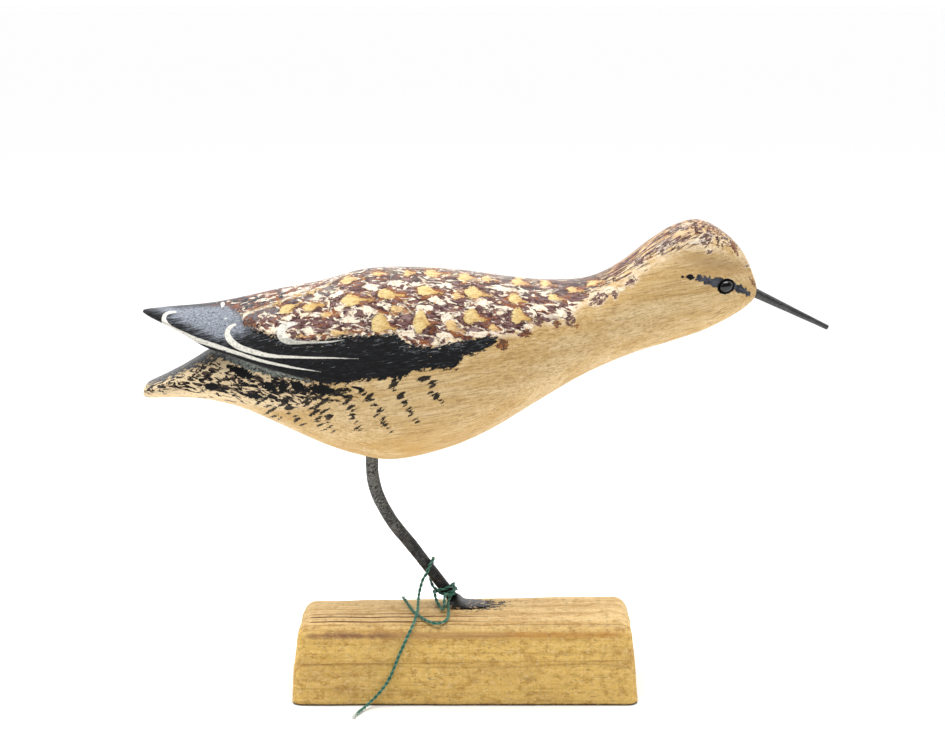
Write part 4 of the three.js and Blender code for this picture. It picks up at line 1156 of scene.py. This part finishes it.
def foot_form(rings=70, sides=72):
    """A low tongue of filler, rounded at both ends, that climbs the rod in a hollow curve."""
    t = np.linspace(0, 1, rings)[:, None]
    angle = ring_angles(sides)[None]
    x = LEG_FOOT[0] - FOOT_BEHIND + FOOT_LENGTH * t
    climb = FILLER_CLIMB * np.exp(-((x - LEG_FOOT[0] - 0.0004) / 0.0023) ** 2)
    full = np.sqrt(np.maximum(1 - (2 * t - 1) ** 4, 0))
    half = (FOOT_HALF_WIDTH + 0.0006 * np.sin(19 * t + 3 * np.cos(angle))) * full * (1 - 0.2 * t)
    rise = np.where(np.sin(angle) > 0, FOOT_HEIGHT * (1.3 - 0.7 * t) + climb, FOOT_IN_BASE)
    points = np.stack([x + 0 * angle, -FOOT_FRONT - np.cos(angle) * half,
                       block_top(x, 0) + np.sin(angle) * rise * full], axis=-1)
    return closed_form(points, [(x[k, 0], -FOOT_FRONT, float(block_top(x[k, 0], 0))) for k in (0, -1)])


def leg_finish():
    """Grey paint with fine hatching on the upper rod, that turns black and glossier towards the
    foot, with black nicks and dull patches, and bare filler at the foot's chipped edge. The grey is
    paler where the rod faces towards the viewer and away from it, a painted highlight."""
    paint = Finish("dark_leg_paint", roughness=0.45, Specular_IOR_Level=0.22)
    height = paint.axis(2)
    hatch = paint.noise((0.7, 0.7, 3.6), tilt=38, detail=3, rough=0.6, warp=0.3)
    fine = paint.noise(2.4, detail=5, rough=0.7)
    patches = paint.noise((0.22, 0.3, 0.3))
    nicks = paint.noise((0.55, 0.8, 0.8), shift=(4, 1, 2), detail=2)
    upper = (height + (patches - 0.5) * 0.06).step(0.040, 0.092)
    marks = hatch * 0.55 + fine * 0.45
    # paler on the rod's faces towards and away from the viewer: a painted highlight
    light = marks.step(0.42, 0.58) * (upper * 0.84 + 0.12) * (paint.attribute("rubbed") * 0.95 + 0.30)
    colour = light.mix(LEG_BLACK, LEG_GREY).under(LEG_BLACK, nicks.step(0.66, 0.70))
    colour = colour.under(BARE_FILLER, nicks.step(0.56, 0.60) * height.step(0.0362, 0.0354))
    return paint.join(Base_Color=colour, Roughness=upper.between(0.40, 0.55),
                      Normal=paint.bump(marks, 0.00035, strength=0.55))


bends = [HIP] + [LEG_FOOT + (x * LEG_REACH - LEG_REACH, 0, z * LEG_RISE) for x, z in LEG_BENDS]
last = (bends[-1] - bends[-2]) / np.linalg.norm(bends[-1] - bends[-2])
rod_line = smooth_line(through(np.array(bends + [bends[-1] + last * LEG_IN_BASE])), 0.0004, passes=2)
rod_radii = ROD_AT_KNOT + (ROD_RADIUS - ROD_AT_KNOT) * rise_between(rod_line[:, 2], 0.052, 0.062)
leg_mesh = grown_together("rod_and_foot", [turned_form(rod_line, rod_radii, 48), foot_form()], LEG_GRAIN)
points, outward = places_and_normals(leg_mesh)
uneven = 0.00007 * gentle_waves(points, 0.007, 31) * (0.4 + rise_between(points[:, 2], 0.050, 0.060))
uneven += 0.00004 * gentle_waves(points, 0.0022, 32)
move_to(leg_mesh, points + outward * uneven[:, None])
keep(leg_mesh, "rubbed", np.abs(outward[:, 1]) ** 1.4)      # paler in front and behind: a painted highlight where the rod faces towards and away from the viewer
leg_mesh.materials.append(leg_finish())
leg = placed("bent_rod_and_foot", leg_mesh)
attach(leg, "root")
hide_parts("leg")

# The block: a short length split from a pine log, with a crowned top, faces that lean in and
# worn edges. Lines of harder wood stand out on the top, and a fine crack runs along the front.
BASE_ROUND = 0.005
BASE_FOOT_ROUND = 0.0012
BASE_FACE_LEAN = 0.003
BASE_END_LEAN = 0.0032
BLOCK_HEART = 0.015             # height of the middle of the ends, where their faces close
CRACK_HEIGHT = 0.0177
CRACK_RISE = 0.0098             # for each metre along
CRACK_DEPTH = 0.0004
CREASE_HEIGHT = 0.0284
CREASE_DEPTH = 0.00035
GROOVE_DEPTH = 0.00032
# Grooves of the top: place across, and how deep
TOP_GRAIN = ((-0.0105, 0.35), (-0.0150, 0.6), (-0.0194, 1.0), (-0.0222, 0.4), (-0.0250, 1.0))
# Paint round the foot: its middle along and across in millimetres, and its half length and width
FOOT_MARKS = {"flecks": ((-4.5, -4.0), (17.0, 9.0)), "smudge": ((-19.0, -5.0), (6.5, 5.0)),
              "foot_paint": ((-6.5, -3.0), (10.0, 8.5))}
LOG_HEART = (45, 60)            # millimetres across and up
# Growth rings by their distance from the log's heart, in millimetres, with how dark each is
RINGS = [(19.5, 0.5), (25.0, 0.6), (31.0, 0.5), (37.5, 0.7), (43.5, 0.45), (50.5, 0.4), (57.9, 0.85),
         (65.4, 0.9), (75.4, 1.0), (86.4, 0.55), (92.3, 0.35), (98.0, 0.3)]
PINE_PALE = (0.750, 0.560, 0.290)
PINE_HONEY = (0.800, 0.545, 0.165)
PINE_ORANGE = (0.440, 0.232, 0.050)
PINE_BROWN = (0.150, 0.062, 0.022)
PINE_SOILED = (0.450, 0.275, 0.110)
PINE_VEIN = (0.330, 0.150, 0.030)
PINE_BLEACHED = (0.860, 0.680, 0.350)
CREASE_BROWN = (0.400, 0.215, 0.085)
CREASE_ORANGE = (0.460, 0.200, 0.045)
STAIN_BROWN = (0.230, 0.110, 0.062)
FOOT_CONTACT_SHADE = (0.040, 0.022, 0.011)
SMUDGE = (0.120, 0.085, 0.070)


def block_section(inset):
    """Points round the block's section in its plain box, before its faces lean and its top is
    crowned: upright sides with rounded shoulders and a small round at the foot, all drawn in by
    an inset that shortens the radius of each shoulder. They lie closest along the front's crack."""
    foot = np.linspace(0, np.pi / 2, 7)[1:]
    front = np.concatenate([np.arange(0.0016, 0.0164, 0.00038), np.arange(0.0164, 0.0190, 0.00015),
                            np.arange(0.0190, 0.0269, 0.00036)])
    shoulder, back_shoulder = np.linspace(0, np.pi / 2, 18), np.linspace(np.pi / 2, 0, 10)
    back, under = np.linspace(0.0265, 0.0016, 30), np.linspace(1, -1, 24)[1:-1]
    r, f, w = BASE_ROUND - inset, BASE_FOOT_ROUND, BASE_HALF_DEPTH - inset
    core, top = BASE_HALF_DEPTH - BASE_ROUND, BASE_SIDE_HEIGHT - BASE_ROUND
    over = np.linspace(-core, core, 122)[1:-1]
    y = [-(w - f + f * np.sin(foot)), np.full(len(front), -w), -core - r * np.cos(shoulder), over,
         core + r * np.cos(back_shoulder), np.full(len(back), w), w - f + f * np.sin(foot[::-1]),
         under * (w - f)]
    z = [f - f * np.cos(foot), front, top + r * np.sin(shoulder),
         np.full(len(over), BASE_SIDE_HEIGHT - inset), top + r * np.sin(back_shoulder), back,
         f - f * np.cos(foot[::-1]), 0 * under]
    return np.concatenate(y), np.concatenate(z)


def block_form():
    """Sections carried along the block, drawn in round each end and then closed over it; then the
    faces are leant in and the top crowned. Gives the points, where they lay before, and faces."""
    turn = np.linspace(0, np.pi / 2, 13)
    shrink = np.array([0.15, 0.35, 0.55, 0.72, 0.86, 0.95])
    inset = np.concatenate([np.full(len(shrink), BASE_ROUND), BASE_ROUND * (1 - np.sin(turn))])
    reach = np.concatenate([np.full(len(shrink), BASE_HALF_LENGTH),
                            BASE_HALF_LENGTH - BASE_ROUND * (1 - np.cos(turn))])
    size = np.concatenate([shrink, np.ones(len(turn))])
    middle = np.linspace(-(BASE_HALF_LENGTH - BASE_ROUND), BASE_HALF_LENGTH - BASE_ROUND, 216)[1:-1]
    inset = np.concatenate([inset, np.zeros(len(middle)), inset[::-1]])
    along = np.concatenate([-reach, middle, reach[::-1]])[:, None]
    size = np.concatenate([size, np.ones(len(middle)), size[::-1]])[:, None]
    y, z = np.stack([block_section(each) for each in inset], axis=1) * size
    z = z + BLOCK_HEART * (1 - size)
    rings = np.stack([along + 0 * y, y, z], axis=-1)
    plain, faces = closed_form(rings, [(end * BASE_HALF_LENGTH, 0, BLOCK_HEART) for end in (-1, 1)])
    x, y, z = plain.T
    level = z / BASE_SIDE_HEIGHT
    leant_x = BASE_MIDDLE + x * (1 - BASE_END_LEAN / BASE_HALF_LENGTH * np.maximum(level, 0) ** 1.5)
    leant_y = y * (1 - BASE_FACE_LEAN / BASE_HALF_DEPTH * level)
    return np.stack([leant_x, leant_y, level * block_top(leant_x, leant_y)], axis=1), plain, faces


points, plain, faces = block_form()
block = new_piece("split_block", points, faces)
outward = places_and_normals(block.data)[1]
x, y, z = plain.T
lengthwise = plain * (1, 0, 0)
wander = 0.00035 * gentle_waves(lengthwise, 0.045, 41) + 0.00012 * gentle_waves(lengthwise, 0.011, 42)
from_end = BASE_HALF_LENGTH - np.abs(x)
inner = rise_between(from_end, 0.001, 0.007)
front = y < -0.02

# The crack along the front, the crease under its upper edge, and the worn grooves of the top
crack_open = inner * (0.55 + 0.45 * gentle_waves(lengthwise, 0.030, 43))
crack = np.exp(-((z - CRACK_HEIGHT - CRACK_RISE * x - wander * 0.5) / 0.00015) ** 2)
crack = crack * (front & (z < 0.0272)) * np.clip(crack_open, 0.15, 1)
crease = np.exp(-((z - CREASE_HEIGHT) / 0.0011) ** 2) * front * inner
grooves = np.zeros(len(x))
for at, deep in TOP_GRAIN:
    grooves = np.maximum(grooves, deep * np.exp(-((y - at - 2 * wander) / 0.00080) ** 2))
grooves = grooves * (z > 0.029) * (1 - 0.70 * rise_between(x, -0.035, 0.030)) * inner
worn = 0.00022 * gentle_waves(plain * (0.5, 1, 1), 0.016, 44)
worn += 0.00007 * gentle_waves(plain * (0.4, 1, 1), 0.004, 45)
depth = CRACK_DEPTH * crack + CREASE_DEPTH * crease + GROOVE_DEPTH * grooves
sunk = points + outward * (worn * (z > 0.0004) - depth)[:, None]
sunk[:, 2] = np.maximum(sunk[:, 2], 0)
move_to(block.data, sunk)
for name, values in (("crack", crack), ("sunk_line", grooves), ("crease", crease),
                     ("stain", crease * (1 - rise_between(np.abs(x + 0.048), 0.010, 0.022))),
                     ("end_grain", 1 - rise_between(from_end, 0.0002, 0.0030))):
    keep(block.data, name, values)
for name, (middle, half) in FOOT_MARKS.items():
    near = 1 - np.hypot(*((points[:, :2] / MM - middle) / half).T)
    keep(block.data, name, np.clip(near, 0, 1) * (points[:, 2] > 0.030))


def pine_finish():
    """Weathered pine: growth rings round the log's heart, each pale and then darker to its edge,
    fibres and saw marks, orange mottling, and black smears of paint round the foot."""
    pine = Finish("weathered_pine", roughness=0.62, Specular_IOR_Level=0.18)
    along, across, up = (pine.axis(k) * (1 / MM) for k in range(3))
    fibres = pine.noise((0.045, 1.5, 1.5), detail=6, rough=0.70, warp=0.15)
    long_fibres = pine.noise((0.012, 0.62, 0.62), shift=(0, 5, 5), detail=4, rough=0.6)
    fine = pine.noise(1.1, detail=6, rough=0.7)
    mottle = pine.noise((0.22, 0.34, 0.34), detail=6, rough=0.68, warp=0.3)
    soiled = pine.noise((0.030, 0.085, 0.085), shift=(2, 8, 4), detail=5, rough=0.62, warp=0.4)
    veined = pine.noise((0.16, 0.42, 0.42), shift=(1, 5, 2), detail=6, rough=0.62, warp=0.9)
    bleached = pine.noise((0.5, 0.8, 0.8), shift=(0, 2, 8), detail=6, rough=0.7)
    sawn = pine.noise((1.25, 0.05, 0.05), shift=(6, 0, 0), detail=3)
    specks = pine.noise((0.45, 1.3, 1.3), shift=(3, 0, 1), detail=2)
    rays = pine.noise(1.4, shift=(1, 1, 1), detail=4)

    # Growth rings, that sway along the block
    sway = pine.noise((0.011, 0.03, 0.03), detail=3) * 2.6
    ripple = pine.noise((0.045, 0.12, 0.12), shift=(7, 0, 0), detail=3) * 0.9
    from_heart = ((across - LOG_HEART[0]) ** 2.0 + (up - LOG_HEART[1]) ** 2.0) ** 0.5 + sway + ripple - 1.75
    broad = narrow = from_heart * 0.0
    for radius, dark in RINGS:
        inside = radius - from_heart
        broad = broad | inside.step(2.6, 0.1) * inside.step(-0.25, 0.05) * dark
        narrow = narrow | abs(inside).step(0.42, 0.05) * dark
    uneven = pine.noise((0.03, 0.2, 0.2), shift=(0, 0, 9), detail=3)

    # Wood, soiled and bleached by turns, and then its creases and cracks, and painted shade along the foot
    # where it meets the floor
    # Paler over the top than down the faces: painted light on the top face
    colour = ((up + mottle * 6.0).step(31.0, 37.0) * 0.85).mix(PINE_HONEY, PINE_PALE)
    grooves = pine.attribute("sunk_line").step(0.22, 0.62) * fibres.step(0.24, 0.44)
    crease = pine.attribute("crease") * (long_fibres.step(0.30, 0.60) * 0.45 + 0.50)
    for paint, share, strength in (
            (PINE_ORANGE, long_fibres.step(0.42, 0.70), 0.45),
            (PINE_ORANGE, broad * uneven.step(0.32, 0.62), 0.60),
            (PINE_BROWN, narrow * uneven.step(0.34, 0.60), 0.60),
            (PINE_ORANGE, fibres.step(0.50, 0.68), 0.38),
            (PINE_SOILED, soiled.step(0.50, 0.66), 0.30), (PINE_ORANGE, mottle.step(0.48, 0.66), 0.62),
            (PINE_VEIN, abs(veined - 0.53).step(0.022, 0.004) * mottle.step(0.44, 0.56), 0.70),
            (PINE_ORANGE, fine.step(0.50, 0.68), 0.45), (PINE_BLEACHED, bleached.step(0.50, 0.66), 0.42),
            (PINE_ORANGE, sawn.step(0.45, 0.70), 0.16), (PINE_BROWN, specks.step(0.745, 0.80), 0.50),
            (PINE_ORANGE, pine.attribute("end_grain") * rays.step(0.38, 0.64), 0.35),
            (PINE_BROWN, grooves, 0.95),
            (along.step(2.0, 16.0).mix(CREASE_BROWN, CREASE_ORANGE), crease, 1.0),
            (STAIN_BROWN, pine.attribute("stain") * mottle.step(0.36, 0.56), 0.85),
            # the last row is painted shade: the foot darkened where the block meets the floor
            (PINE_BROWN, pine.attribute("crack"), 0.85), (FOOT_CONTACT_SHADE, (up + fine * 1.6).step(2.0, 1.2), 0.95)):
        colour = colour.under(paint, share, strength)

    # Paint dripped and smeared round the foot
    smear = pine.noise((0.42, 0.62, 1.1), tilt=-4, shift=(2, 2, 0), detail=5, rough=0.62, warp=0.6)
    colour = colour.under(SMUDGE, (pine.attribute("smudge") * 0.34 + smear).step(0.56, 0.72), 0.55)
    flecks = pine.attribute("flecks")
    flecked = (flecks * 0.36 + smear).step(0.615, 0.630) * flecks.step(0.0, 0.05)
    black = flecked | (pine.attribute("foot_paint") * 1.10 + smear).step(0.78, 0.81)
    return pine.join(Base_Color=colour.under(LEG_BLACK, black), Roughness=black.between(0.66, 0.50),
                     Normal=pine.bump(fibres * 0.6 + fine * 0.4, 0.00040, strength=0.7))


block.data.materials.append(pine_finish())
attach(block, "root")
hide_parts("base")

# The studio: a wide pale floor under a soft sky that is brightest above and behind, and darker
# on the viewer's side, with one large soft light overhead.
FLOOR_SIZE = 60.0
FLOOR_PALE = (0.93, 0.93, 0.93, 1)
BRIGHT_SKY = 1.60
DARK_SKY = 0.11
LIGHT_PLACE = Vector((-0.12, -0.12, 1.15))
LIGHT_SIZE = (1.0, 0.55)
LIGHT_POWER = 14
LIGHT_AIM = Vector((0, 0, 0.12))

floor_finish = Finish("pale_floor", roughness=0.9, Base_Color=FLOOR_PALE, Specular_IOR_Level=0.1)
corners = np.array([(-1, -1, 0), (1, -1, 0), (1, 1, 0), (-1, 1, 0)]) * (FLOOR_SIZE / 2)
floor = new_piece("floor", corners, [[0, 1, 2, 3]], floor_finish.material)

lamp = bpy.data.lights.new("overhead", "AREA")
lamp.shape = "RECTANGLE"
lamp.size, lamp.size_y = LIGHT_SIZE
lamp.energy = LIGHT_POWER
overhead = placed("overhead", lamp)
overhead.location = LIGHT_PLACE
overhead.rotation_euler = (LIGHT_AIM - LIGHT_PLACE).to_track_quat("-Z", "Y").to_euler()

sky = bpy.data.worlds.new("studio")
bpy.context.scene.world = sky
sky.use_nodes = True
nodes, links = sky.node_tree.nodes, sky.node_tree.links
where = nodes.new("ShaderNodeTexCoord")
split = nodes.new("ShaderNodeSeparateXYZ")
towards = nodes.new("ShaderNodeMapRange")
towards.interpolation_type = "SMOOTHSTEP"
for socket, value in (("From Min", -0.70), ("From Max", 0.30), ("To Min", DARK_SKY), ("To Max", BRIGHT_SKY)):
    towards.inputs[socket].default_value = value
links.new(where.outputs["Generated"], split.inputs[0])
links.new(split.outputs[1], towards.inputs["Value"])
links.new(towards.outputs[0], nodes["Background"].inputs["Strength"])
nodes["Background"].inputs["Color"].default_value = (1, 1, 1, 1)
bpy.context.scene.view_settings.view_transform = "Standard"
